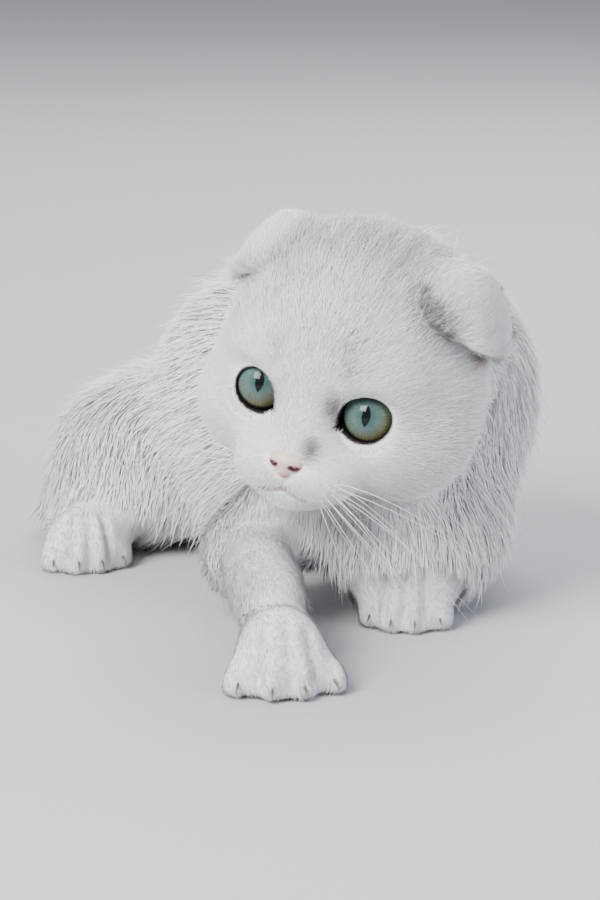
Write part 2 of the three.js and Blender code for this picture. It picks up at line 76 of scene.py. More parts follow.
# Eyes, in millimetres: 1 stands for the cat's left and -1 for its right
SIDES = {"left": 1, "right": -1}
SIGNS = tuple(SIDES.values())
EYEBALL_RADIUS = 9.6
EYE_HALF_SPACING = 17.2
EYE_SPLAY = math.radians(9)
LID_TILT = math.radians(25)
LID_HALVES = {1: (7.7, 6.8), -1: (7.2, 6.4)}  # half the width and the height of the opening between the lids
LID_CENTRE = {1: (0.1, 0, 1.1), -1: (-1.9, 0, 1.6)}
LID_CORNER = ((-5.4, 0, 0.6), (-10.6, 0, -0.6), 2.6, 0.3)
LID_THICKNESS = 1.25
GAZE_TURN = math.radians(9)  # both eyes look to the cat's left of straight ahead, and up
GAZE_RISE = {1: math.radians(16), -1: math.radians(21)}

# Skin
VOXEL = 1.0 * MM
BAND_VOXELS = 18
EAR_VOXEL = 0.5 * MM
EAR_BAND_VOXELS = 12
BLUR_PASSES = 3
COARSE = 4  # voxels to a step of the lattice on which the skin's depth is blurred
BODY_CELL = 2.4 * MM
EAR_CELL = 0.95 * MM
FACE_CELL = 0.75 * MM
NODE_GAP = 0.7 * MM  # wider than half the gap between the head and the neck
RUFF_FILL = 9 * MM  # the coat fills hollows behind the face up to about this radius
RUFF_BEHIND = (8, 30)  # millimetres behind the eyes over which that filling sets in
RUFF_HEIGHT = (26 * MM, 44 * MM)
WRIST_FILL = (9, 17)  # millimetres from the reaching wrist over which it ends
FLOOR_CLEARANCE = 0.4 * MM
OUTSIDE = 0.1 * MM  # the least that a field has on the edges of its grid, so that its surface closes

# Coat, in millimetres: length, how deep the skin lies in the solids, tuft width, tufts per square millimetre
COATS = {
    "head": (5.0, 2.2, 0.26, 5.2),
    "neck": (10.0, 4.2, 0.42, 1.25),
    "torso": (11.0, 4.6, 0.46, 1.05),
    "foreleg": (7.0, 2.9, 0.40, 1.5),
    "forepaw": (2.6, 1.0, 0.26, 4.2),
    "hind_leg": (9.0, 4.0, 0.46, 1.15),
    "hind_paw": (3.2, 1.2, 0.30, 2.6),
    "ear": (3.6, 0.0, 0.24, 5.2),
    "tail": (7.0, 2.6, 0.5, 1.2),
}
FACE_COAT = (2.5, 1.1, 0.20, 8.0)
FACE_REACH = (20.0, 58.0)  # millimetres from the nose over which the face's coat turns into the head's
RISE = {
    "head": 26, "neck": 28, "torso": 27, "foreleg": 24, "forepaw": 22,
    "hind_leg": 26, "hind_paw": 22, "ear": 18, "tail": 24,
}  # degrees between the tufts and the skin
NEEDLE_LENGTH = 5.8  # tufts up to this many millimetres long are straight
PIECE_TRIANGLES = 190000
PATCH = 0.003  # how much of the unwrap a tuft takes
SOFTNESS = 0.72  # how far a tuft's shading turns from its own edges to the skin under it
# Painted shade: each tuft's colour is darker at its root, deep among the other tufts, and a little lighter at
# its tip
ROOT_SHADE_TO_TIP = [0.88, 0.97, 1.04]


def rotation(axis, angle):
    c, s = math.cos(angle), math.sin(angle)
    if axis == "x":
        return np.array([[1, 0, 0], [0, c, -s], [0, s, c]])
    if axis == "y":
        return np.array([[c, 0, s], [0, 1, 0], [-s, 0, c]])
    return np.array([[c, -s, 0], [s, c, 0], [0, 0, 1]])


def unit(v):
    return v / np.maximum(norm(v, axis=-1, keepdims=True), 1e-12)


def smoothstep(low, high, x):
    t = np.clip((x - low) / (high - low), 0, 1)
    return t * t * (3 - 2 * t)


def mix(a, b, t):
    return a + (b - a) * t


def vertices_of(node):
    co = np.empty(len(nodes[node].data.vertices) * 3, np.float32)
    nodes[node].data.vertices.foreach_get("co", co)
    return co.reshape(-1, 3).astype(float)


def triangles_of(node):
    mesh = nodes[node].data
    mesh.calc_loop_triangles()
    index = np.empty(len(mesh.loop_triangles) * 3, np.int32)
    mesh.loop_triangles.foreach_get("vertices", index)
    return index.reshape(-1, 3)


# The eyeballs' centres, from the spherical front of each eye's solid
head_axes = rotation("z", HEAD_TURN) @ rotation("x", HEAD_PITCH) @ rotation("y", HEAD_ROLL)
head_forward = -head_axes[:, 1]


def sphere_centre(points):
    front = points[points @ head_forward > np.median(points @ head_forward)]
    system = np.column_stack([2 * front, np.ones(len(front))])
    solution = np.linalg.lstsq(system, (front**2).sum(axis=1), rcond=None)[0]
    return solution[:3]


eye_centres = [sphere_centre(vertices_of(f"eye_{side}")) for side in SIDES]
head_origin = (eye_centres[0] + eye_centres[1]) / 2
part_offset = head_origin - SOLIDS_EYE_MIDDLE * MM


def to_head(points):
    """World points in metres to the head's frame in millimetres."""
    return (points - head_origin) @ head_axes / MM


def from_head(points):
    return np.asarray(points, float) * MM @ head_axes.T + head_origin


def eye_axes(sign):
    """An eye's own axes in the head frame: x outwards along the opening, y backwards, z up."""
    turn = rotation("z", sign * EYE_SPLAY) @ rotation("y", -sign * LID_TILT)
    return turn @ np.diag([sign, 1, 1])


# Fields in the head frame, negative inside
def ellipsoid(points, centre, radii):
    q = points - np.asarray(centre, float)
    radii = np.asarray(radii, float)
    scaled = norm(q / radii, axis=-1)
    slope = norm(q / radii**2, axis=-1)
    return scaled * (scaled - 1) / np.maximum(slope, 1e-9)


def capsule(points, start, end, start_radius, end_radius):
    start = np.asarray(start, float)
    along = np.asarray(end, float) - start
    t = np.clip((points - start) @ along / (along @ along), 0, 1)
    return norm(points - start - t[..., None] * along, axis=-1) - mix(start_radius, end_radius, t)


def chain(points, path, radii):
    steps = zip(path, path[1:], radii, radii[1:])
    return np.min([capsule(points, a, b, ra, rb) for a, b, ra, rb in steps], axis=0)


def smooth_min(a, b, width):
    share = np.maximum(width - np.abs(a - b), 0) / width
    return np.minimum(a, b) - share * share * width / 4


def smooth_max(a, b, width):
    return -smooth_min(-a, -b, width)


def opening_field(local, sign):
    """Distance across the face to the opening between the lids, in an eye's own axes.

    The opening is round, with a drawn-out corner towards the nose.
    """
    flat = (local - LID_CENTRE[sign]) * np.array([1.0, 0.0, 1.0])
    width, height = LID_HALVES[sign]
    disc = (np.hypot(flat[..., 0] / width, flat[..., 2] / height) - 1) * height
    return smooth_min(disc, capsule(flat, *LID_CORNER), 1.2)


def eye_local(points, sign):
    centre = np.array([sign * EYE_HALF_SPACING, 0, 0])
    return (points - centre) @ eye_axes(sign)


def at_opening(local, sign, reach, back):
    """Distance to the opening between the lids, for points near the eyeball and in front of `back`."""
    eye = eye_local(local, sign)
    near = (norm(eye, axis=-1) < EYEBALL_RADIUS + reach) & (eye[:, 1] < back)
    return np.where(near, opening_field(eye, sign), np.inf)


# Nose, muzzle and mouth in the head frame. An ellipsoid has its centre, its radii and the width of its blend
NOSE_TIP = np.array([0, -21.5, -13.6])
NOSE_FORM = ((0, -18.3, -13.2), (5.3, 3.7, 2.7))
NOSE_JOINED = (
    ((0, -18.6, -15.8), (2.6, 3.0, 3.2), 1.6),
    ((3.1, -18.6, -14.6), (2.0, 2.5, 1.7), 1.2),
)
NOSTRIL = np.array([3.6, -21.3, -14.7])
NOSTRIL_RADII = (2.0, 1.5, 0.62)
FURROW = ((0, -22.3, -13.6), (0, -22.2, -18.5), 0.32, 0.42)
MUZZLE_FORMS = (
    ((8.0, -12.6, -19.6), (8.8, 7.6, 6.2), 3.0),
    ((-8.0, -12.6, -19.6), (8.8, 7.6, 6.2), 3.0),
    ((0, -10.5, -25.6), (8.2, 7.2, 4.3), 2.5),
    ((0, -16.2, -13.8), (5.0, 4.2, 3.6), 2.5),
)
PHILTRUM = ((0, -22.0, -17.2), (0, -21.2, -19.8), (0, -19.6, -22.4))
LIP = ((0, -19.8, -22.2), (4.2, -19.9, -24.4), (9, -18.4, -25.4), (14, -14.4, -25), (18.2, -8.6, -22.8))
LIP_RADII = (0.85, 0.9, 0.85, 0.7, 0.4)
MOUTH_LINES = [(PHILTRUM, (0.8, 0.85, 0.85))]
MOUTH_LINES += [([(sign * x, y, z) for x, y, z in LIP], LIP_RADII) for sign in SIGNS]


def lips_distance(points):
    return np.min([chain(points, path, radii) for path, radii in MOUTH_LINES], axis=0)


def nose_field(points):
    """The nose leather: a rounded triangle, hollowed by two nostrils and parted by a shallow furrow."""
    mirror = np.array(points)
    mirror[..., 0] = np.abs(mirror[..., 0])
    body = ellipsoid(mirror, *NOSE_FORM)
    for centre, radii, blend in NOSE_JOINED:
        body = smooth_min(body, ellipsoid(mirror, centre, radii), blend)
    nostril = ellipsoid((mirror - NOSTRIL) @ rotation("y", 0.3), (0, 0, 0), NOSTRIL_RADII)
    return smooth_max(smooth_max(body, -nostril, 0.5), -capsule(mirror, *FURROW), 0.5)


def face_features(points, field):
    """Adds lids, pads, chin, the nose's bed and the mouth's line to the skin's field, in millimetres."""
    for centre, radii, blend in MUZZLE_FORMS:
        field = smooth_min(field, ellipsoid(points, centre, radii), blend)
    for sign in SIGNS:
        local = eye_local(points, sign)
        radius = norm(local, axis=-1)
        field = smooth_min(field, radius - EYEBALL_RADIUS - LID_THICKNESS, 3.4)
        slot = np.maximum(opening_field(local, sign), local[..., 1] + 1.0)
        rim = smooth_max(field, -slot, 1.1)
        field = np.where(local[..., 1] < 3, rim, field)
        field = smooth_max(field, -(radius - EYEBALL_RADIUS + 0.05), 0.3)
    for path, radii in MOUTH_LINES:
        field = smooth_max(field, -chain(points, path, radii), 0.7)
    return field


# The solids as level sets: a grid is its values in metres, its first point in steps, and its step in metres
def rasterised(names, step, band):
    """Distances to the union of these nodes, on a grid that reaches `band` steps outside them."""
    points = []
    triangles = []
    count = 0
    for name in names:
        points.append(vertices_of(name) / step)
        triangles.append(triangles_of(name) + count)
        count += len(points[-1])
    points = np.concatenate(points)
    start = np.floor(points.min(axis=0)).astype(int) - band
    shape = np.ceil(points.max(axis=0)).astype(int) + band - start
    made = openvdb.FloatGrid.createLevelSetFromPolygons(
        (points - start).astype(np.float32),
        triangles=np.concatenate(triangles).astype(np.uint32),
        halfWidth=band,
    )
    field = np.full(shape, band, np.float32)
    made.copyToArray(field)
    return field * step, start, step


def closed_over(grid, gap, band):
    """The field of a grid again, with gaps and pits up to twice `gap` wide filled."""
    field, start, step = grid
    made = openvdb.FloatGrid(float(band))
    made.copyFromArray((field / step).astype(np.float32))
    points, quads = made.convertToQuads(isovalue=gap / step)
    again = openvdb.FloatGrid.createLevelSetFromPolygons(points, quads=quads, halfWidth=band)
    field = np.full(field.shape, band, np.float32)
    again.copyToArray(field)
    return field * step + gap


def blurred(field, passes):
    for _ in range(passes):
        for axis in range(3):
            before = np.roll(field, 1, axis)
            after = np.roll(field, -1, axis)
            field = 0.25 * before + 0.5 * field + 0.25 * after
    return field


def sampled(grid, points):
    """Trilinear values of a grid at world points."""
    field, start, step_length = grid
    at = points / step_length - start
    low = np.clip(np.floor(at).astype(int), 0, np.array(field.shape) - 2)
    t = np.clip(at - low, 0, 1)
    value = 0
    for corner in range(8):
        step = np.array([corner & 1, corner >> 1 & 1, corner >> 2 & 1])
        share = np.prod(np.where(step, t, 1 - t), axis=-1)
        i, j, k = (low + step).T
        value = value + share * field[i, j, k]
    return value


flesh = [name for name in nodes if name != "nose" and not name.startswith("eye")]
ears = [name for name in flesh if name.startswith("ear")]
body = [name for name in flesh if name not in ears]
body_grid = rasterised(body, VOXEL, BAND_VOXELS)
ear_grid = rasterised(ears, EAR_VOXEL, EAR_BAND_VOXELS)
NOSE_PLUG = ((0, -17.0, -14.0), (5.0, 3.6, 4.4))
PLUG_REACH = 30  # voxels from the eyes' middle


def plug_pockets(grid):
    """Fills the eye pockets and the nose's bed of the head's solid, before it is closed over."""
    field, start, step = grid
    low = np.round(from_head((0, 0, 0)) / step).astype(int) - PLUG_REACH - start
    window = tuple(slice(max(a, 0), a + 2 * PLUG_REACH) for a in low)
    axes = [np.arange(s.start, min(s.stop, n)) for s, n in zip(window, field.shape)]
    lattice = np.stack(np.meshgrid(*axes, indexing="ij"), axis=-1)
    points = to_head((lattice + start) * step)
    plug = ellipsoid(points, *NOSE_PLUG)
    for sign in SIGNS:
        ball = norm(points - (sign * EYE_HALF_SPACING, 0, 0), axis=-1) - EYEBALL_RADIUS - 0.8
        plug = np.minimum(plug, ball)
    field[window] = np.minimum(field[window], plug * MM)
    return grid


WRIST_MIDDLE = np.array([-94, -85, 20]) * MM + part_offset


def ruff_share(shape, start, step):
    """1 over the neck, the back and the reaching wrist, where the coat hides every hollow, else 0."""
    axes = [(np.arange(n) + low) * step for n, low in zip(shape, start)]
    back = head_axes[:, 1]
    offset = [(axis - origin) * slope / MM for axis, origin, slope in zip(axes, head_origin, back)]
    behind = offset[0][:, None, None] + offset[1][None, :, None] + offset[2][None, None, :]
    high = smoothstep(*RUFF_HEIGHT, axes[2])[None, None, :]
    away = [((axis - middle) / MM) ** 2 for axis, middle in zip(axes, WRIST_MIDDLE)]
    distance = np.sqrt(away[0][:, None, None] + away[1][None, :, None] + away[2][None, None, :])
    ruff = smoothstep(*RUFF_BEHIND, behind) * high
    return np.maximum(ruff, 1 - smoothstep(*WRIST_FILL, distance)).astype(np.float32)


plugged = plug_pockets(body_grid)
grid_start = plugged[1]
body_field = closed_over(plugged, NODE_GAP, BAND_VOXELS)
filled_field = closed_over(plugged, RUFF_FILL, BAND_VOXELS)
body_field = mix(body_field, filled_field, ruff_share(body_field.shape, grid_start, VOXEL))
body_grid = (blurred(body_field, BLUR_PASSES), grid_start, VOXEL)

# Where each kind of coat grows: the nearest solid tells, and smooth weights join the kinds
node_points = []
node_kinds = []
kind_names = list(COATS)
for name in flesh:
    kind = next(k for k in kind_names if name.startswith(k))
    points = vertices_of(name)[::2]
    node_points.append(points)
    node_kinds += [kind_names.index(kind)] * len(points)
node_points = np.concatenate(node_points)
node_kinds = np.array(node_kinds)
node_tree = KDTree(len(node_points))
for i, point in enumerate(node_points):
    node_tree.insert(point, i)
node_tree.balance()


def kinds_near(points, spread, count=6):
    """Weights of each kind of coat at the points, from the nearest solids."""
    weights = np.zeros((len(points), len(kind_names)))
    for row, point in enumerate(points):
        for _, index, distance in node_tree.find_n(point, count):
            weights[row, node_kinds[index]] += math.exp(-((distance / spread) ** 2)) + 1e-9
    return weights / weights.sum(axis=1, keepdims=True)


def face_share(points):
    """1 on the muzzle and round the eyes, 0 on the back of the head."""
    return 1 - smoothstep(*FACE_REACH, norm(to_head(points) - NOSE_TIP, axis=-1))


# How deep the skin lies, on a coarse lattice that is then blurred
DEPTH_REACH = 13 * MM
coarse_shape = [n // COARSE + 2 for n in body_field.shape]
coarse_points = (np.indices(coarse_shape).reshape(3, -1).T * COARSE + grid_start) * VOXEL
near_surface = np.abs(sampled(body_grid, coarse_points)) < DEPTH_REACH
depth = np.full(len(coarse_points), COATS["torso"][1])
depths = np.array([coat[1] for coat in COATS.values()])
depth[near_surface] = kinds_near(coarse_points[near_surface], spread=8 * MM) @ depths
depth = mix(depth, FACE_COAT[1], face_share(coarse_points))
depth_grid = (blurred(depth.reshape(coarse_shape), 1) * MM, grid_start / COARSE, VOXEL * COARSE)

# Paws in the solids' own frame, in millimetres: the toes' tip, where the limb comes from and the toes' spread
PAWS = {
    "forepaw_right": ((-111, -107), (-86, -75), 1.1),
    "forepaw_left": ((-40, -83), (-9, -60), 0.85),
    "hind_paw_right": ((-61, 33), (-27, 86), 0.9),
    "hind_paw_left": ((75, 33), (41, 86), 0.9),
}
TOE_PITCH = 8.1
TOE_FAN = 0.2  # how far the toes turn outwards from the paw's middle
GROOVE_LENGTH = 13.0
GROOVE_WIDTH = 1.15
CREASE_FOOT = (1 * MM, 7 * MM)
CREASE_TOP = 22 * MM


def paw_axes(tip, limb):
    ahead = unit(np.array(tip, float) - limb)
    return np.append(ahead, 0), np.array([-ahead[1], ahead[0], 0])


def toe_place(tip, across, place, spread):
    """The floor under the toes' tip, `place` toes to the side, in world millimetres."""
    return np.append(tip, 0) + part_offset / MM + across * place * TOE_PITCH * spread


def toe_grooves():
    """Lines between the toes, each as a start and an end on the floor in world millimetres."""
    grooves = []
    for tip, limb, spread in PAWS.values():
        ahead, across = paw_axes(tip, limb)
        for place in (-1, 0, 1):
            middle = toe_place(tip, across, place, spread)
            fan = across * place * TOE_FAN * spread
            grooves.append([middle + (ahead + fan) * back for back in (0.0, -GROOVE_LENGTH)])
    return grooves


GROOVES = toe_grooves()


# This mask both carves the grooves between the toes and sets where painted shade darkens them
def toe_crease(points):
    """1 on the lines between the toes, fading to 0 beside them and at the floor, and 0 above the toes."""
    flat = points / MM * [1, 1, 0]
    height = points[:, 2]
    distance = np.min([capsule(flat, *groove, 0, 0) for groove in GROOVES], axis=0)
    line = np.exp(-((distance / GROOVE_WIDTH) ** 2))
    return line * smoothstep(*CREASE_FOOT, height) * (height < CREASE_TOP)


# How the skin's forms join. The fur hides how far the reaching forepaw's wrist narrows
WRIST = ((-64, -46, 21), (-99, -91, 13.2), 8.0, 11.0)
WRIST_BLEND = 8 * MM
EAR_ROOT = (0.5 * MM, 5 * MM)  # distances from the head over which an ear loses its thicker root
EAR_ROOT_GROWTH = 2.2 * MM
EAR_BLEND = (2.5, 9.0)  # millimetres over which an ear blends into the head, low and high on the head
EAR_BLEND_HEIGHT = (27, 37)
FACE_HALF_WIDTH, FACE_BACK, FACE_MIDDLE, FACE_HALF_HEIGHT = 32, 12, -8, 26
CREASE_DEPTH = 2.0 * MM
CREASE_REACH = 8 * MM  # from the surface, as far as the field is bent
SKIRT = 1.6 * MM  # how far the skin comes out again where it meets the floor
SKIRT_HEIGHT = 6 * MM


def skin_field(points):
    """The skin's field in metres at world points."""
    wrist = capsule((points - part_offset) / MM, *WRIST) * MM
    whole = smooth_min(sampled(body_grid, points), wrist, WRIST_BLEND)
    field = whole + sampled(depth_grid, points)
    root = 1 - smoothstep(*EAR_ROOT, whole)
    ear = sampled(ear_grid, points) + COATS["ear"][1] * MM - EAR_ROOT_GROWTH * root
    local = to_head(points)
    field = smooth_min(field, ear, mix(*EAR_BLEND, smoothstep(*EAR_BLEND_HEIGHT, local[:, 2])) * MM)
    on_face = (np.abs(local[:, 0]) < FACE_HALF_WIDTH) & (local[:, 1] < FACE_BACK)
    on_face &= np.abs(local[:, 2] - FACE_MIDDLE) < FACE_HALF_HEIGHT
    field[on_face] = face_features(local[on_face], field[on_face] / MM) * MM
    low = (points[:, 2] < CREASE_TOP) & (np.abs(field) < CREASE_REACH)
    field[low] += CREASE_DEPTH * toe_crease(points[low])
    field -= SKIRT * (1 - smoothstep(0, SKIRT_HEIGHT, points[:, 2]))
    return np.maximum(field, FLOOR_CLEARANCE - points[:, 2])


def grid_lines(low, high, zones, coarse, growth=0.12):
    """Grid lines whose spacing is each zone's own inside it, and grows with the distance from it."""
    lines = [low]
    while lines[-1] < high:
        here = lines[-1]
        steps = [fine + growth * max(start - here, here - end, 0) for start, end, fine in zones]
        lines.append(here + min(steps + [coarse]))
    return np.array(lines)


def surface_nets(field, lines):
    """The zero surface of a field function as vertices and quads: one vertex in each crossed cell."""
    shape = tuple(len(line) for line in lines)
    values = np.empty(shape)
    for i, x in enumerate(lines[0]):
        y, z = np.meshgrid(lines[1], lines[2], indexing="ij")
        plane = np.column_stack([np.full(y.size, x), y.ravel(), z.ravel()])
        values[i] = field(plane).reshape(y.shape)
    for axis in range(3):
        ends = [slice(None)] * 3
        ends[axis] = [0, -1]
        values[tuple(ends)] = np.maximum(values[tuple(ends)], OUTSIDE)
    inside = values < 0
    cells = tuple(n - 1 for n in shape)
    corners = [(c & 1, c >> 1 & 1, c >> 2 & 1) for c in range(8)]
    filled = np.zeros(cells, np.int8)
    for corner in corners:
        filled += inside[tuple(slice(c, c + n) for c, n in zip(corner, cells))]
    crossed = np.argwhere((filled > 0) & (filled < 8))
    number = np.full(cells, -1, np.int64)
    number[tuple(crossed.T)] = np.arange(len(crossed))
    total = np.zeros((len(crossed), 3))
    count = np.zeros(len(crossed))
    for a in range(8):
        for axis in range(3):
            if a >> axis & 1:
                continue
            start = crossed + corners[a]
            end = crossed + corners[a | 1 << axis]
            va = values[tuple(start.T)]
            vb = values[tuple(end.T)]
            cut = (va < 0) != (vb < 0)
            t = np.where(cut, va / np.where(cut, va - vb, 1), 0)
            pa = np.column_stack([lines[d][start[:, d]] for d in range(3)])
            pb = np.column_stack([lines[d][end[:, d]] for d in range(3)])
            total += (mix(pa, pb, t[:, None])) * cut[:, None]
            count += cut
    vertices = total / count[:, None]
    quads = []
    for axis in range(3):
        u, v = (axis + 1) % 3, (axis + 2) % 3
        low = [slice(None)] * 3
        high = [slice(None)] * 3
        low[axis] = slice(0, -1)
        high[axis] = slice(1, None)
        first, second = inside[tuple(low)], inside[tuple(high)]
        edges = np.argwhere(first != second)
        keep = (edges[:, u] > 0) & (edges[:, v] > 0)
        keep &= (edges[:, u] < cells[u]) & (edges[:, v] < cells[v])
        edges = edges[keep]
        outward = first[tuple(edges.T)]
        offset_u = np.eye(3, dtype=int)[u]
        offset_v = np.eye(3, dtype=int)[v]
        ring = [edges - offset_u - offset_v, edges - offset_v, edges, edges - offset_u]
        quad = np.column_stack([number[tuple(r.T)] for r in ring])
        quad[~outward] = quad[~outward][:, ::-1]
        quads.append(quad)
    return vertices, np.concatenate(quads)


def placed(name, data):
    """A new object in the scene."""
    obj = bpy.data.objects.new(name, data)
    bpy.context.scene.collection.objects.link(obj)
    return obj


def make_object(name, vertices, faces):
    """A smooth mesh object from arrays, with faces all of one size."""
    mesh = bpy.data.meshes.new(name)
    sides_each = faces.shape[1]
    mesh.vertices.add(len(vertices))
    mesh.vertices.foreach_set("co", np.asarray(vertices, np.float32).ravel())
    mesh.loops.add(faces.size)
    mesh.loops.foreach_set("vertex_index", faces.astype(np.int32).ravel())
    mesh.polygons.add(len(faces))
    mesh.polygons.foreach_set("loop_start", np.arange(0, faces.size, sides_each, dtype=np.int32))
    mesh.update(calc_edges=True)
    mesh.validate()
    mesh.polygons.foreach_set("use_smooth", np.ones(len(mesh.polygons), bool))
    return placed(name, mesh)


def set_colours(mesh, colours):
    """Linear colours on the vertices, as the attribute Coat."""
    layer = mesh.color_attributes.new("Coat", "FLOAT_COLOR", "POINT")
    rgba = np.ones((len(colours), 4), np.float32)
    rgba[:, :3] = colours
    layer.data.foreach_set("color", rgba.ravel())


def vertex_normals(vertices, faces):
    normal = np.zeros_like(vertices)
    a, b, c, d = (vertices[faces[:, i]] for i in range(4))
    face_normal = np.cross(c - a, d - b)
    for i in range(4):
        for axis in range(3):
            normal[:, axis] += np.bincount(faces[:, i], face_normal[:, axis], len(vertices))
    return unit(normal)


def smoothed(values, faces, rounds):
    """Values on vertices, averaged with their neighbours."""
    pairs = np.concatenate([faces[:, [i, (i + 1) % 4]] for i in range(4)])
    pairs = np.concatenate([pairs, pairs[:, ::-1]])
    share = np.bincount(pairs[:, 0], minlength=len(values))
    for _ in range(rounds):
        total = [np.bincount(pairs[:, 0], column[pairs[:, 1]], len(values)) for column in values.T]
        values = 0.5 * values + 0.5 * np.column_stack(total) / np.maximum(share, 1)[:, None]
    return values


FACE_ZONE_REACH = 25 * MM
SKIN_MARGIN = 6 * MM
face_middle = from_head((0, -12, -8))
ear_boxes = np.array([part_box(name) for name in ears])
lines = []
for d in range(3):
    zones = [(face_middle[d] - FACE_ZONE_REACH, face_middle[d] + FACE_ZONE_REACH, FACE_CELL)]
    zones += [(box[0][d] - MM, box[1][d] + MM, EAR_CELL) for box in ear_boxes]
    lines.append(grid_lines(cad_box[0][d] - SKIN_MARGIN, cad_box[1][d] + SKIN_MARGIN, zones, BODY_CELL))


def largest_part(vertices, faces):
    """Drops loose scraps: keeps the faces connected to the largest piece."""
    label = np.arange(len(vertices))
    while True:
        lowest = label[faces].min(axis=1)
        before = label.copy()
        for i in range(4):
            np.minimum.at(label, faces[:, i], lowest)
        label = label[label]
        if (label == before).all():
            break
    names, sizes = np.unique(label, return_counts=True)
    kept = label == names[sizes.argmax()]
    renumber = np.cumsum(kept) - 1
    return vertices[kept], renumber[faces[kept[faces[:, 0]]]]


skin_vertices, skin_faces = largest_part(*surface_nets(skin_field, lines))
skin_normals = vertex_normals(skin_vertices, skin_faces)


# Markings: the colour of the coat at world points, in linear light
def noise(points, scale, seed, octaves=3):
    """A smooth random field between -1 and 1, from summed sine waves."""
    draw = np.random.default_rng(seed)
    value = np.zeros(len(points))
    weight = 0
    for octave in range(octaves):
        for _ in range(5):
            wave = draw.normal(size=3) * 2 * math.pi / scale * 1.9**octave
            phase = draw.uniform(0, 2 * math.pi)
            value += np.sin(points @ wave + phase) * 0.6**octave
            weight += 0.6**octave
    return value / weight * 2


def spot(local, centre, radii, soft):
    """1 at the centre of an ellipsoid in the head frame, fading to 0 at its surface."""
    distance = norm((local - np.asarray(centre, float)) / np.asarray(radii, float), axis=-1)
    return 1 - smoothstep(1 - soft, 1, distance)


WHITE = np.array([0.90, 0.90, 0.915])
SILVER = np.array([0.22, 0.225, 0.26])
SMOKE = np.array([0.035, 0.033, 0.036])
CREAM = np.array([0.80, 0.70, 0.58])
PINK = np.array([0.72, 0.42, 0.36])
RIM = np.array([0.022, 0.016, 0.015])
# Pink ear leather, painted much darker with the shade in the hollow under each folded ear
SHADED_EAR_LEATHER = np.array([0.16, 0.055, 0.045])

# Marks on the head: colour, strength on the cat's left and its right, centre, radii, softness, and how much
# of the mark is even and how much follows a fine noise
BROW_AND_EAR_MARKS = (
    (SILVER, 0.35, 0.35, (9.5, -4, 15), (3, 9, 11), 0.9, 1, 0),
    (SILVER, 0.55, 0.55, (31, 8, 27), (9, 8, 10), 0.9, 0.6, 0.4),
)
FACE_MARKS = (
    # the ear's leather under its fold, darkened with painted shade
    (SHADED_EAR_LEATHER, 0.85, 0.85, (40.5, 21, 16.5), (8, 9, 6), 0.7, 1, 0),
    (SMOKE, 0.7, 0.25, (8.2, -10.5, 2.5), (4.4, 7, 7.5), 0.9, 1, 0),
    (SILVER, 0.4, 0.4, (11.6, -9, 14), (4.5, 7, 6), 0.9, 0.6, 0.5),
    (CREAM, 0.22, 0.22, (24, -2, -14), (14, 14, 8), 1, 1, 0),
    (SILVER, 0.26, 0.26, (34, 14, -16), (13, 18, 14), 1, 1, 0),
)
NOSE_MARKS = (
    (SMOKE, 0.8, 0.8, (5.2, -16.5, -9.5), (4.0, 6, 5.4), 0.9, 1, 0),
    (CREAM, 0.35, 0.35, (0, -19, -14.5), (8, 6, 6), 0.9, 1, 0),
)
EAR_EDGE = ((22.5, 6, 35.5), (28.5, 6, 31), (35, 9, 24))
EAR_EDGE_RADII = (3.2, 2.2, 2.6)
EAR_EDGE_STRENGTH = {1: 0.75, -1: 0.25}
FOREHEAD = (12, -8, 22)
CROWN_BARS = (0, 6.5, 13, 19.5)
BAR_WIDTH = 1.9

# Where some of the tufts are dark: their share, and the centre, radii and softness of the place
TICKS = (
    (0.16, (6, 22, 46), (30, 34, 22), 0.8),
    (0.3, (9, -6, 16), (10, 12, 17), 0.9),
    (0.5, (8.5, -11, 3), (5, 7, 7), 0.9),
    (0.75, (29, 6, 30), (12, 9, 12), 0.9),
    (0.1, (36, 10, -4), (14, 24, 20), 1.0),
)
MOST_TICKED = 0.8


def tint(colour, towards, amount):
    return mix(colour, towards, np.clip(amount, 0, 1)[:, None])


def marked(colour, local, sign, fine, mark):
    """The colour with one mark laid over it, on the side that `sign` stands for."""
    towards, left, right, (x, y, z), radii, soft, even, grain = mark
    share = spot(local, (sign * x, y, z), radii, soft)
    return tint(colour, towards, (left if sign > 0 else right) * share * (even + grain * fine))


def coat_colour(points):
    """White with a silver cast, darker on the crown and forehead, and with the head's marks."""
    local = to_head(points)
    colour = np.tile(WHITE, (len(points), 1))
    cloud = noise(points / MM, 34, 3)
    fine = noise(points / MM, 5, 4)
    colour = tint(colour, SILVER, 0.05 + 0.05 * cloud)
    ahead = smoothstep(70, 30, norm(local - FOREHEAD, axis=-1))
    streak = noise(local @ np.diag([1, 0.3, 0.3]), 2.6, 6, 2)
    colour = tint(colour, SILVER, 0.16 * ahead * smoothstep(-4, 8, local[:, 2]) * (0.7 + 0.8 * streak))
    side = np.abs(local[:, 0])
    crown = smoothstep(20, 36, local[:, 2]) * (1 - smoothstep(14, 34, side)) * smoothstep(-4, 12, local[:, 1])
    crown *= 1 - smoothstep(40, 62, local[:, 1])
    bars = sum(np.exp(-(((side - place) / BAR_WIDTH) ** 2)) for place in CROWN_BARS)
    colour = tint(colour, SILVER, crown * (0.34 + 0.26 * bars + 0.14 * fine))
    for sign in SIGNS:
        for mark in BROW_AND_EAR_MARKS:
            colour = marked(colour, local, sign, fine, mark)
        edge = chain(local, [(sign * x, y, z) for x, y, z in EAR_EDGE], EAR_EDGE_RADII)
        edge_share = EAR_EDGE_STRENGTH[sign] * (1 - smoothstep(-1.2, 1.6, edge))
        colour = tint(colour, SMOKE, edge_share * (0.7 + 0.5 * fine))
        for mark in FACE_MARKS:
            colour = marked(colour, local, sign, fine, mark)
    for mark in NOSE_MARKS:
        colour = marked(colour, local, 1, fine, mark)
    return colour


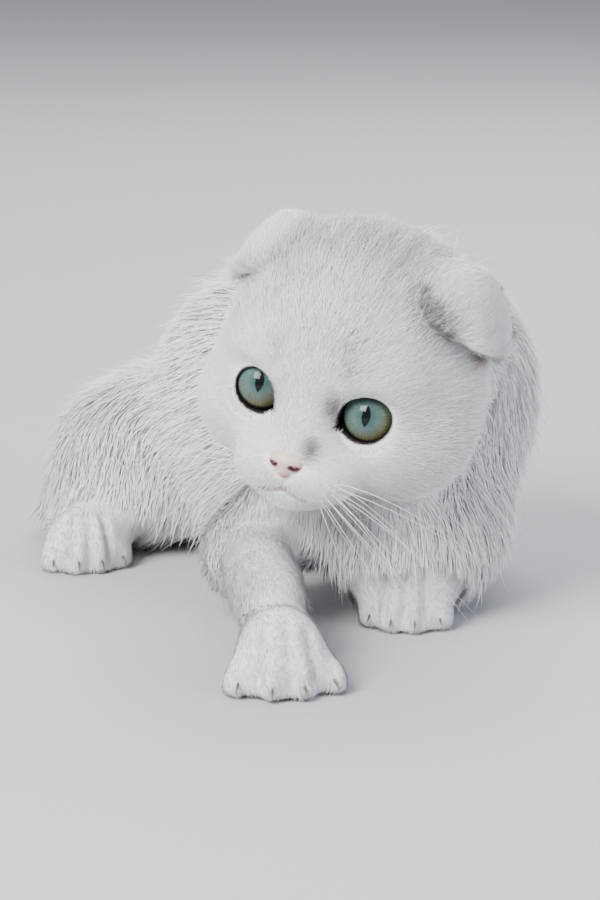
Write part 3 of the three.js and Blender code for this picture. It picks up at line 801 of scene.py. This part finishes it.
def ticking(points):
    """The share of dark tufts: by the ear's front edge, between the eyes, on the brow, crown and cheek."""
    local = to_head(points)
    return np.clip(sum(share * spot(local, *place) for share, *place in TICKS), 0, MOST_TICKED)


def skin_colour(points):
    """The skin carries the coat's markings, and its own dark lids, mouth and whisker roots."""
    local = to_head(points)
    colour = coat_colour(points)
    # Darker skin under the dark tufts, and painted shade in the grooves between the toes
    colour = tint(colour, SMOKE, 0.3 * ticking(points) + 0.3 * toe_crease(points))
    for sign in SIGNS:
        colour = tint(colour, RIM, 1 - smoothstep(0.3, 0.85, at_opening(local, sign, 3.2, 1.5)))
    colour = tint(colour, PINK * 0.3, 0.9 * (1 - smoothstep(0.2, 1.0, lips_distance(local))))
    for root in whisker_roots:
        dot = norm(local - root, axis=-1)
        colour = tint(colour, SMOKE, 0.55 * (1 - smoothstep(0.35, 0.8, dot)))
    return colour


# Whiskers spring from rows on each pad, and from the brows. Lengths are in millimetres
PAD_SIDE, PAD_MIDDLE = 8.0, (-12.0, -19.4)
PAD_ROWS = 4
PAD_LENGTHS = (16, 26, 34, 30)
BROW_LENGTHS = (22, 27, 18)
WHISKER_RADII = (0.13, 0.026)
WHISKER_DROOP = (0.55, -0.62)  # backwards and down
LOWEST_WHISKER = 0.6 * MM


def surface_point(origin, direction, reach=40.0):
    """Where a ray in the head frame leaves the skin, in head millimetres."""
    direction = unit(np.asarray(direction, float))
    steps = np.linspace(0, reach, 400)[:, None]
    track = np.asarray(origin, float) + steps * direction
    outside = skin_field(from_head(track)) > 0
    return track[np.argmax(outside)] if outside.any() else track[-1]


whiskers = []
for sign in SIGNS:
    for row in range(PAD_ROWS):
        for column, longest in enumerate(PAD_LENGTHS):
            if row == 0 and column > 2:
                continue
            azimuth = math.radians(28 + 17 * column)
            height = math.radians(14 - 17 * row)
            level = math.cos(height)
            ray = np.array([sign * math.sin(azimuth) * level, -math.cos(azimuth) * level, math.sin(height)])
            root = surface_point((sign * PAD_SIDE, *PAD_MIDDLE), ray)
            whiskers.append((root, ray, longest * (0.9 + 0.2 * rng.random()), sign))
    for n, longest in enumerate(BROW_LENGTHS):
        root = surface_point((sign * 13, 4, 6), (sign * (0.05 + 0.22 * n), -0.5, 1.0))
        ray = unit(np.array([sign * (0.5 + 0.2 * n), -0.75, 0.9]))
        whiskers.append((root, ray, longest, sign))
whisker_roots = [root for root, *_ in whiskers if root[2] < -8]


def tube_points(line, radius, across, upward, ring):
    """Points on rings round a line, whose axes are given at each point or once for all."""
    angle = 2 * math.pi * np.arange(ring) / ring
    circle = np.cos(angle)[:, None] * across[:, None] + np.sin(angle)[:, None] * upward[:, None]
    return (line[:, None] + radius[:, None, None] * circle).reshape(-1, 3)


def tube_quads(steps, ring):
    """Faces between the rings of a tube."""
    k, s = np.meshgrid(np.arange(steps - 1), np.arange(ring), indexing="ij")
    n = (s + 1) % ring
    quads = np.stack([k * ring + s, k * ring + n, (k + 1) * ring + n, (k + 1) * ring + s], axis=-1)
    return quads.reshape(-1, 4)


def repeated(faces, count, points_each):
    """The faces of `count` pieces that all have the same layout."""
    return (faces + (np.arange(count) * points_each)[:, None, None]).reshape(-1, faces.shape[1])


def whisker_mesh():
    steps, ring = 10, 4
    t = np.linspace(0, 1, steps)[:, None]
    radius = mix(*WHISKER_RADII, t[:, 0] ** 0.8)
    vertices = []
    for root, ray, length, sign in whiskers:
        droop = (sign * 0.1, *WHISKER_DROOP) * (1 + 0.2 * rng.normal(size=3))
        start = root - 0.8 * ray
        line = start + length * (t * (ray + [sign * 0.35, 0.2, 0.0]) + t * t * droop)
        tangent = unit(np.gradient(line, axis=0))
        across = unit(np.cross(tangent, [0.1, 0.2, 1]))
        upward = np.cross(tangent, across)
        above_floor = from_head(line)
        above_floor[:, 2] = np.maximum(above_floor[:, 2], LOWEST_WHISKER)
        vertices.append(tube_points(to_head(above_floor), radius, across, upward, ring))
    caps = np.array([[3, 2, 1, 0], (steps - 1) * ring + np.arange(ring)])
    faces = np.concatenate([tube_quads(steps, ring), caps])
    return from_head(np.concatenate(vertices)), repeated(faces, len(whiskers), steps * ring)


# Lie of the coat: which way the tips point, before it is laid on the skin
FLOW_BODY = (0.0, 0.85, -0.42)
FLOW_CHEST = (-0.1, -0.25, -1.0)
FLOW_NECK = (0.1, 0.35, -0.9)
CHEST_PLACE = (-35 * MM, -75 * MM)
TAIL_TURN = (20 * MM, 35 * MM)  # from the tail's middle to the point that it bends round
limb_flows = []
paw_flows = []
for name in nodes:
    if "leg" in name:
        low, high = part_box(name)
        paw_low, paw_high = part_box(name.replace("leg", "paw"))
        limb_middle = (np.array(low) + np.array(high)) / 2
        paw_middle = np.array((paw_low + paw_high) / 2)
        way = unit(paw_middle - limb_middle)
        limb_flows.append((limb_middle, way))
        paw_flows.append((paw_middle, way))


def nearest_flow(points, flows):
    """The flow that belongs to the nearest of the places in `flows`."""
    places, ways = (np.array(column) for column in zip(*flows))
    return ways[np.argmin(norm(points[:, None] - places, axis=2), axis=1)]


def lie(points, kinds):
    """The coat's flow at world points: back and down the body, outwards over the face, down the limbs."""
    local = to_head(points)
    flow_head = (unit(local - (NOSE_TIP + [0, 4, 0]))) @ head_axes.T
    for sign in SIGNS:
        from_eye = local - (sign * EYE_HALF_SPACING, 0, 0)
        near = 1 - smoothstep(EYEBALL_RADIUS + 1, EYEBALL_RADIUS + 6, norm(from_eye, axis=1))
        flow_head = mix(flow_head, unit(from_eye * [1, 0.2, 1]) @ head_axes.T, near[:, None])
    chest = smoothstep(*CHEST_PLACE, points[:, 1])[:, None]
    flow_body = mix(np.tile(FLOW_BODY, (len(points), 1)), np.array(FLOW_CHEST), chest)
    flow_neck = np.tile(FLOW_NECK, (len(points), 1))
    flows = {"head": flow_head, "torso": flow_body, "neck": flow_neck, "ear": flow_head}
    limb = nearest_flow(points, limb_flows)
    flows["foreleg"] = limb
    flows["hind_leg"] = unit(limb + [0, 0, -0.5])
    flows["forepaw"] = unit(nearest_flow(points, paw_flows) + [0, 0, -0.15])
    flows["hind_paw"] = flows["forepaw"]
    tail_middle = (np.array(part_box("tail_base")[1]) + np.array(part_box("tail_middle")[0])) / 2
    around = points - [tail_middle[0] - TAIL_TURN[0], tail_middle[1] - TAIL_TURN[1], 0]
    flows["tail"] = unit(np.column_stack([around[:, 1], -around[:, 0], np.zeros(len(points))]))
    return sum(kinds[:, [kind_names.index(k)]] * unit(v) for k, v in flows.items())


kinds = smoothed(kinds_near(skin_vertices, spread=7 * MM), skin_faces, 14)
kinds /= kinds.sum(axis=1, keepdims=True)
coat_rows = np.array(list(COATS.values()))
on_face = face_share(skin_vertices)[:, None] * (1 - kinds[:, [kind_names.index("ear")]])
coat = mix(kinds @ coat_rows, np.array(FACE_COAT), on_face)
flow = smoothed(lie(skin_vertices, kinds), skin_faces, 8)
flow = unit(flow - (flow * skin_normals).sum(axis=1, keepdims=True) * skin_normals)

head_kinds = kinds[:, kind_names.index("head")] + kinds[:, kind_names.index("ear")]
part_of_vertex = np.where(head_kinds > 0.5, 0, 1)


# One unwrap of the skin, on tiles by body part and by the side that a face looks to
TILE_COLUMNS, TILE_ROWS = 4, 3
TILE_MARGIN = 0.01
BOX_MARGIN = 10 * MM


def tile_uv(points, normals, part):
    facing = np.argmax(np.abs(normals), axis=1)
    positive = normals[np.arange(len(normals)), facing] > 0
    tile = part * 6 + facing * 2 + positive
    low = np.array(cad_box[0]) - BOX_MARGIN
    size = (np.array(cad_box[1]) - low).max() + 2 * BOX_MARGIN
    rows = np.arange(len(points))
    places = []
    for axis in (np.where(facing == 0, 1, 0), np.where(facing == 2, 1, 2)):
        places.append(TILE_MARGIN + (1 - 2 * TILE_MARGIN) * (points[rows, axis] - low[axis]) / size)
    u = (tile % TILE_COLUMNS + places[0]) / TILE_COLUMNS
    v = (tile // TILE_COLUMNS + places[1]) / TILE_ROWS
    return np.column_stack([u, v])


def set_uv(obj, uv_of_loop):
    layer = obj.data.uv_layers.new(name="OFBake")
    layer.data.foreach_set("uv", np.asarray(uv_of_loop, np.float32).ravel())


# Materials
def add_node(tree, kind, **sockets):
    """A shader node with the values of its sockets. In their names _ stands for a space."""
    made = tree.nodes.new(kind)
    for socket, value in sockets.items():
        made.inputs[socket.replace("_", " ")].default_value = value
    return made


def material(name, roughness, scale=None, amount=0, bump=None, colours=None, **sockets):
    """A Principled material, whose colour a fine noise breaks where `scale` is given.

    The colour is the attribute Coat or a blend of two `colours`, and `bump` holds a strength and a distance.
    """
    made = bpy.data.materials.new(name)
    made.use_nodes = True
    tree = made.node_tree
    link = tree.links.new
    shader = tree.nodes["Principled BSDF"]
    for socket, value in {"Roughness": roughness, **sockets}.items():
        shader.inputs[socket.replace("_", " ")].default_value = value
    if scale is None:
        return made
    texture = add_node(tree, "ShaderNodeTexNoise", Scale=scale, Detail=4)
    link(add_node(tree, "ShaderNodeTexCoord").outputs["Object"], texture.inputs["Vector"])
    if colours:
        ramp = add_node(tree, "ShaderNodeValToRGB")
        for stop, colour in zip(ramp.color_ramp.elements, colours):
            stop.color = (*colour, 1)
        link(texture.outputs["Fac"], ramp.inputs["Fac"])
        link(ramp.outputs["Color"], shader.inputs["Base Color"])
    else:
        level = add_node(tree, "ShaderNodeMapRange", To_Min=1 - amount, To_Max=1 + amount * 0.5)
        link(texture.outputs["Fac"], level.inputs["Value"])
        attribute = add_node(tree, "ShaderNodeAttribute")
        attribute.attribute_name = "Coat"
        scaled = add_node(tree, "ShaderNodeVectorMath")
        scaled.operation = "SCALE"
        link(attribute.outputs["Color"], scaled.inputs[0])
        link(level.outputs["Result"], scaled.inputs["Scale"])
        link(scaled.outputs["Vector"], shader.inputs["Base Color"])
    if bump:
        relief = add_node(tree, "ShaderNodeBump", Strength=bump[0], Distance=bump[1])
        link(texture.outputs["Fac"], relief.inputs["Height"])
        link(relief.outputs["Normal"], shader.inputs["Normal"])
    return made


fur_material = material("coat_fur", 0.62, scale=900, amount=0.06, Sheen_Weight=0.25, Specular_IOR_Level=0.25)
skin_material = material(
    "coat_skin", 0.7, scale=1400, amount=0.12, bump=(0.35, 0.0006), Specular_IOR_Level=0.2
)

skin = make_object("cat_skin", skin_vertices, skin_faces)
set_colours(skin.data, skin_colour(skin_vertices))
face_normals = unit(skin_normals[skin_faces].mean(axis=1))
face_part = part_of_vertex[skin_faces[:, 0]]
loop_points = skin_vertices[skin_faces].reshape(-1, 3)
set_uv(skin, tile_uv(loop_points, np.repeat(face_normals, 4, axis=0), np.repeat(face_part, 4)))
skin.data.materials.append(skin_material)
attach(skin, "root")
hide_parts(*flesh)


# The coat: tufts of three edges, open at the root, that narrow to a point
SUNK = FLOOR_CLEARANCE + 0.1 * MM  # no fur grows on faces that lie wholly below this


def face_areas():
    a, b, c, d = (skin_vertices[skin_faces[:, i]] for i in range(4))
    return 0.5 * norm(np.cross(c - a, d - b), axis=1)


def bare_share(points):
    """1 where no fur grows: the eyes' openings, the nose leather and the mouth's line."""
    local = to_head(points)
    bare = np.zeros(len(points))
    for sign in SIGNS:
        bare = np.maximum(bare, at_opening(local, sign, 4, 2) < 0.75)
    bare = np.maximum(bare, (nose_field(local) < 0.45) & (local[:, 2] < -12.8))
    return np.maximum(bare, lips_distance(local) < 0.55)


area = face_areas() / MM**2
expected = area * coat[skin_faces, 3].mean(axis=1)
expected[skin_vertices[skin_faces][:, :, 2].max(axis=1) < SUNK] = 0
count = np.floor(expected + rng.random(len(expected))).astype(int)
root_face = np.repeat(np.arange(len(skin_faces)), count)
s, t = rng.random((2, len(root_face)))
weights = np.column_stack([(1 - s) * (1 - t), s * (1 - t), s * t, (1 - s) * t])


def at_roots(values):
    return np.einsum("nk,nkd->nd", weights, values[skin_faces[root_face]])


roots = at_roots(skin_vertices)
kept = bare_share(roots) < 0.5
root_face, weights, roots = root_face[kept], weights[kept], roots[kept]
normals = unit(at_roots(skin_normals))
root_coat = at_roots(coat)
root_flow = unit(at_roots(flow))
root_kinds = at_roots(kinds)
colours = coat_colour(roots)
dark_hairs = rng.random(len(roots)) < ticking(roots)
# Dark tufts, and painted shade on the tufts in the grooves between the toes
colours = tint(colours, SMOKE, 0.62 * dark_hairs + 0.25 * toe_crease(roots))
total = len(roots)

# How each tuft stands: longer, steeper guard hairs stand among the others, and all droop a little
RISE_SPREAD = 0.22
RISE_LIMITS = (0.12, 1.2)
GUARD_SHARE = 0.03
GUARD_LENGTH = 1.45
GUARD_RISE = 1.5
GUARD_COAT = 3.5  # millimetres of coat above which guard hairs stand in it
SCATTER = 0.16
SWIRL = 0.22
BEND = 0.42
DROOP = (0, 0, -0.12)
ROOT_DEPTH = 0.35 * MM
LOWEST_TIP = 0.2 * MM
LOWEST_EDGE = 0.1 * MM
rise = np.radians(root_kinds @ np.array([RISE[k] for k in kind_names], float))
rise *= 1 + RISE_SPREAD * rng.normal(size=total)
rise = np.clip(rise, *RISE_LIMITS)
length = root_coat[:, 0] * (0.82 + 0.36 * rng.random(total)) * MM
guard = (rng.random(total) < GUARD_SHARE) & (face_share(roots) < 0.5) & (root_coat[:, 0] > GUARD_COAT)
length[guard] *= GUARD_LENGTH
rise[guard] *= GUARD_RISE
width = root_coat[:, 2] * (0.8 + 0.4 * rng.random(total)) * MM
swirl = np.column_stack([noise(roots / MM, 26, seed, 2) for seed in (31, 32, 33)])
towards = root_flow + (SCATTER * rng.normal(size=(total, 3)) + SWIRL * swirl)
towards = unit(towards - (towards * normals).sum(axis=1, keepdims=True) * normals)
first_way = unit(np.cos(rise)[:, None] * towards + np.sin(rise)[:, None] * normals)
last_way = unit(first_way - BEND * np.sin(rise)[:, None] * normals + DROOP)
across = unit(np.cross(first_way, normals))
upward = np.cross(across, first_way)


def tuft_normals(rows, ring_count):
    """Shading normals between each edge's own and the skin's, so that the coat shades as one soft surface."""
    own = [across[rows], upward[rows], -across[rows]] * ring_count + [upward[rows]]
    skinward = normals[rows][:, None]
    skinward[..., 2] = np.maximum(skinward[..., 2], -0.3)
    return unit(mix(np.stack(own, axis=1), skinward, SOFTNESS))


def tuft_points(rows, rings, profile):
    """Vertices of the tufts in `rows`: three at each ring and one at the tip."""
    shape = []
    for at, share in zip(rings, profile):
        way = unit(mix(first_way[rows], last_way[rows], at))
        centre = roots[rows] - ROOT_DEPTH * normals[rows] + (length[rows] * at)[:, None] * way
        half = (0.5 * width[rows] * share)[:, None]
        shape.append(centre + half * across[rows])
        shape.append(centre + 0.55 * half * upward[rows])
        shape.append(centre - half * across[rows])
    tip = roots[rows] + length[rows][:, None] * last_way[rows]
    tip[:, 2] = np.maximum(tip[:, 2], LOWEST_TIP)
    shape.append(tip)
    stacked = np.stack(shape, axis=1)
    stacked[:, :, 2] = np.maximum(stacked[:, :, 2], LOWEST_EDGE)
    return stacked


def tuft_faces(ring_count):
    """Triangles of one tuft, with its rings from the root to the tip."""
    faces = []
    for ring in range(ring_count - 1):
        for s in range(3):
            a, b = ring * 3 + s, ring * 3 + (s + 1) % 3
            faces += [(b, a, b + 3), (b + 3, a, a + 3)]
    tip = ring_count * 3
    for s in range(3):
        faces.append((tip - 3 + (s + 1) % 3, tip - 3 + s, tip))
    return np.array(faces)


root_uv = tile_uv(roots, face_normals[root_face], face_part[root_face])
short = root_coat[:, 0] < NEEDLE_LENGTH


def add_coat(prefix, rows, rings, profile):
    """Joined pieces of the tufts in `rows`, whose rings lie at these shares of the length and width."""
    pattern = tuft_faces(len(rings))
    points_each = len(rings) * 3 + 1
    per_piece = PIECE_TRIANGLES // len(pattern)
    # painted shade, darker towards each tuft's root
    shade = np.repeat(ROOT_SHADE_TO_TIP[-len(rings) - 1 :], [3] * len(rings) + [1])
    for n in range(0, len(rows), per_piece):
        part = rows[n : n + per_piece]
        vertices = tuft_points(part, rings, profile)
        faces = repeated(pattern, len(part), points_each)
        obj = make_object(f"{prefix}_{n // per_piece + 1}", vertices.reshape(-1, 3), faces)
        own = 1 + 0.09 * rng.normal(size=(len(part), 1, 1))
        colour = np.clip(colours[part][:, None] * own * shade[None, :, None], 0, 0.95)
        set_colours(obj.data, colour.reshape(-1, 3))
        soft = obj.data.attributes.new("custom_normal", "FLOAT_VECTOR", "POINT")
        soft.data.foreach_set("vector", tuft_normals(part, len(rings)).astype(np.float32).ravel())
        rise_v = np.append(np.repeat(rings, 3), 1.0) - 0.5
        side_u = np.append(np.tile([0.5, 0.0, -0.5], len(rings)), 0.0)
        patch = root_uv[part][:, None] + PATCH * np.column_stack([side_u, rise_v])
        set_uv(obj, patch.reshape(-1, 2)[faces.ravel()])
        obj.data.materials.append(fur_material)
        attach(obj, "root")


order = rng.permutation(total)
add_coat("coat_short", order[short[order]], (0.0,), (1.0,))
add_coat("coat_long", order[~short[order]], (0.0, 0.55), (1.0, 0.8))

# Eyes: a globe with a bulging cornea, coloured as iris, pupil and white, with the upper lid's shadow painted
# on the iris
GLOBE_GAP = 0.15  # between the eyeball and its pocket
CORNEA_BULGE = 0.5
CORNEA_EDGE = math.radians(50)
GLOBE_END = math.radians(150)
IRIS_RADIUS = 7.6
PUPIL_HALF_WIDTH = 1.35
PUPIL_HALF_HEIGHT = 3.2
TEAL = np.array([0.045, 0.10, 0.10])
PALE_TEAL = np.array([0.125, 0.19, 0.18])
OLIVE = np.array([0.12, 0.12, 0.05])
BLACK = np.array([0.004, 0.004, 0.005])
EYE_WHITE = np.array([0.30, 0.24, 0.22])


def eye_colour(x, z):
    """The colour of the globe at places across the gaze, in millimetres from its middle."""
    t = np.hypot(x, z) / IRIS_RADIUS
    angle = np.arctan2(z, x)
    fibres = sum(np.sin(angle * k + p) for k, p in ((37, 0.3), (61, 1.9), (89, 4.0))) / 3
    wave = np.sin(angle * 7 + 1.3) * 0.5 + np.sin(angle * 13 + 0.4) * 0.5
    colour = np.tile(TEAL, (len(x), 1))
    colour = tint(colour, PALE_TEAL, smoothstep(0.25, 0.55, t) * (0.65 + 0.35 * fibres))
    outward = (x - z) / IRIS_RADIUS
    colour = tint(colour, OLIVE, smoothstep(0.35, 0.9, t) * (0.45 + 0.2 * wave + 0.5 * outward))
    colour = tint(colour, BLACK, 0.3 * (fibres > 0.2) * smoothstep(0.2, 0.5, t))
    # Painted shadow of the upper lid over the top of the iris
    colour = tint(colour, BLACK, 0.6 * smoothstep(2.5, 7.5, z))
    colour = tint(colour, BLACK, smoothstep(0.88, 1.0, t) * 0.95)
    colour = tint(colour, EYE_WHITE, 0.5 * smoothstep(1.06, 1.2, t))
    slit = np.abs(x) - PUPIL_HALF_WIDTH * (1 - (z / PUPIL_HALF_HEIGHT) ** 2)
    return tint(colour, BLACK, 1 - smoothstep(-0.12, 0.12, slit))


def eye_globe(side, sign):
    rings, segments = 110, 128
    theta = np.linspace(0, GLOBE_END, rings)
    phi = np.linspace(0, 2 * math.pi, segments, endpoint=False)
    theta, phi = np.meshgrid(theta, phi, indexing="ij")
    out = np.stack([np.sin(theta) * np.cos(phi), -np.cos(theta), np.sin(theta) * np.sin(phi)], axis=-1)
    bulge = (1 - smoothstep(0.0, CORNEA_EDGE, theta)) ** 0.8
    local = out * (EYEBALL_RADIUS - GLOBE_GAP + bulge * CORNEA_BULGE)[..., None]
    local[..., 0] *= sign
    axes = rotation("z", GAZE_TURN) @ rotation("x", -GAZE_RISE[sign])
    centre = np.array([sign * EYE_HALF_SPACING, 0, 0])
    vertices = from_head(local.reshape(-1, 3) @ axes.T + centre)
    faces = tube_quads(rings, segments)
    if sign < 0:
        faces = faces[:, ::-1]
    obj = make_object(f"eye_globe_{side}", vertices, faces)
    set_colours(obj.data, eye_colour(local[..., 0].ravel(), local[..., 2].ravel()))
    return obj


wet = {"Coat_Weight": 0.65, "Coat_Roughness": 0.02, "Coat_IOR": 1.38, "Specular_IOR_Level": 0.02}
eye_material = material("eye_wet", 0.3, scale=1800, amount=0.1, **wet)
for side, sign in SIDES.items():
    globe = eye_globe(side, sign)
    globe.data.materials.append(eye_material)
    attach(globe, "root")
    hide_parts(f"eye_{side}")

# Nose leather
NOSE_CELL = 0.32 * MM
NOSE_GRID = 18 * MM
NOSE_TOP = np.array([0.78, 0.60, 0.56])
NOSE_EDGE = np.array([0.50, 0.13, 0.10])
# Painted shade inside the nostrils' hollows
NOSTRIL_SHADE = np.array([0.07, 0.015, 0.012])
nose_low = from_head((0, -18.5, -15)) - NOSE_GRID / 2
nose_lines = [np.arange(low, low + NOSE_GRID, NOSE_CELL) for low in nose_low]
nose_vertices, nose_faces = surface_nets(lambda p: nose_field(to_head(p)) * MM, nose_lines)
nose = make_object("nose_leather", nose_vertices, nose_faces)
nose_local = to_head(nose_vertices)
nose_mirror = np.abs(nose_local * [1, 0, 0]) + nose_local * [0, 1, 1]
inside_nostril = norm((nose_mirror - NOSTRIL) / (2.3, 2.4, 1.0), axis=1)
edge = smoothstep(2.0, 4.6, nose_mirror[:, 0]) * smoothstep(-12.6, -15.0, nose_local[:, 2])
edge = np.maximum(edge, smoothstep(-16.0, -18.2, nose_local[:, 2]))
nose_colour = tint(np.tile(NOSE_TOP, (len(nose_vertices), 1)), NOSE_EDGE, 0.8 * edge)
# painted shade in the nostrils
nose_colour = tint(nose_colour, NOSTRIL_SHADE, 1 - smoothstep(0.75, 1.1, inside_nostril))
set_colours(nose.data, nose_colour)
nose_material = material(
    "nose_leather", 0.45, scale=2600, amount=0.15, bump=(0.5, 0.0003), Coat_Weight=0.2, Coat_Roughness=0.3
)
nose.data.materials.append(nose_material)
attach(nose, "root")
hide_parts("nose")

# Claws: curved cones whose tips show between the toes' fur, in millimetres
CLAW_PLACES = (-1.5, -0.5, 0.5, 1.5)
CLAW_HEIGHT = (0, 0, 4.6)
CLAW_BACK = 3.4
OUTER_CLAW_BACK = 8.2
CLAW_LENGTH = 3.6
CLAW_HOOK = (0, 0, -2.2)


def claw_mesh():
    steps, ring = 7, 8
    t = np.linspace(0, 1, steps)[:, None]
    radius = 0.55 * np.sqrt(1 - t[:, 0] ** 1.5) + 0.05
    upward = np.array([[0, 0, 1]])
    vertices = []
    for tip, limb, spread in PAWS.values():
        ahead, across_paw = paw_axes(tip, limb)
        for place in CLAW_PLACES:
            way = unit(ahead + across_paw * place * TOE_FAN * spread)
            back = OUTER_CLAW_BACK if abs(place) > 1 else CLAW_BACK
            start = toe_place(tip, across_paw, place, spread) - ahead * back + CLAW_HEIGHT
            line = start + CLAW_LENGTH * t * way + t * t * CLAW_HOOK
            vertices.append(tube_points(line, radius, 0.7 * np.cross(way, upward), upward, ring))
    quads = tube_quads(steps, ring)
    fan = np.array([(0, s, s + 1) for s in range(1, ring - 1)])
    far_fan = fan[:, [0, 2, 1]] + (steps - 1) * ring
    faces = np.concatenate([quads[:, [0, 3, 2]], quads[:, [0, 2, 1]], fan, far_fan])
    return np.concatenate(vertices) * MM, repeated(faces, len(vertices), steps * ring)


claws = make_object("claws", *claw_mesh())
claw_colours = ((0.06, 0.045, 0.04), (0.16, 0.12, 0.105))
claw_material = material("claw_horn", 0.3, scale=900, colours=claw_colours, Coat_Weight=0.3)
claws.data.materials.append(claw_material)
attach(claws, "root")

# Whiskers
whisker = make_object("whiskers", *whisker_mesh())
whisker_colours = ((0.84, 0.84, 0.86), (0.93, 0.93, 0.95))
whisker_material = material("whisker_hair", 0.35, scale=500, colours=whisker_colours, Specular_IOR_Level=0.5)
whisker.data.materials.append(whisker_material)
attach(whisker, "root")

# Floor, lights and camera
FLOOR_HALF = 4.0
floor_mesh = bpy.data.meshes.new("floor")
corners = [(x * FLOOR_HALF, y * FLOOR_HALF, 0) for x, y in ((-1, -1), (1, -1), (1, 1), (-1, 1))]
floor_mesh.from_pydata(corners, [], [(0, 1, 2, 3)])
floor = placed("floor", floor_mesh)
floor.data.materials.append(material("floor_pale", 0.9, Base_Color=(0.5, 0.5, 0.52, 1)))

world = bpy.data.worlds.new("studio")
bpy.context.scene.world = world
world.use_nodes = True
world.node_tree.nodes["Background"].inputs["Color"].default_value = (0.80, 0.84, 0.90, 1)
world.node_tree.nodes["Background"].inputs["Strength"].default_value = 0.6


def area_light(name, place, aim, size, power, colour):
    light = bpy.data.lights.new(name, "AREA")
    light.shape = "RECTANGLE"
    light.size, light.size_y = size
    light.energy = power
    light.color = colour
    obj = placed(name, light)
    obj.location = place
    obj.rotation_euler = (Vector(aim) - Vector(place)).to_track_quat("-Z", "Y").to_euler()


# The camera looks down on the kitten from in front of its right shoulder, as in the photograph
CAMERA_DISTANCE = 0.96
CAMERA_HEIGHT = 0.2588
CAMERA_TURN = math.radians(-45)
CAMERA_PITCH = math.radians(13)
LENS_MM = 122
SENSOR_MM = 36
camera_place = np.array([math.sin(CAMERA_TURN), -math.cos(CAMERA_TURN), 0]) * CAMERA_DISTANCE
camera_place[2] = CAMERA_HEIGHT
camera_place[:2] += part_offset[:2]
camera_data = bpy.data.cameras.new("camera")
camera_data.lens = LENS_MM
camera_data.sensor_fit = "VERTICAL"
camera_data.sensor_height = SENSOR_MM
camera_data.sensor_width = SENSOR_MM
camera = placed("camera", camera_data)
camera.location = camera_place
camera.rotation_euler = (math.pi / 2 - CAMERA_PITCH, 0, CAMERA_TURN)
bpy.context.scene.camera = camera

# Lights: metres towards the camera, to its right and up from the cat's middle, size, watts and colour
LIGHTS = {
    "key": (0.9, -0.75, 0.95, (0.7, 0.8), 46, (1, 0.985, 0.96)),
    "fill": (0.7, 1.1, 0.5, (0.9, 0.9), 9, (0.88, 0.93, 1)),
    "back": (-0.9, 0.3, 1.1, (1.0, 0.8), 24, (0.92, 0.96, 1)),
}
cat_middle = np.array([0, 0, 0.06])
to_camera = unit(camera_place * [1, 1, 0])
camera_right = np.array([math.cos(CAMERA_TURN), math.sin(CAMERA_TURN), 0])
for name, (ahead, right, height, size, power, colour) in LIGHTS.items():
    place = cat_middle + ahead * to_camera + right * camera_right + [0, 0, height]
    area_light(name, place, cat_middle, size, power, colour)
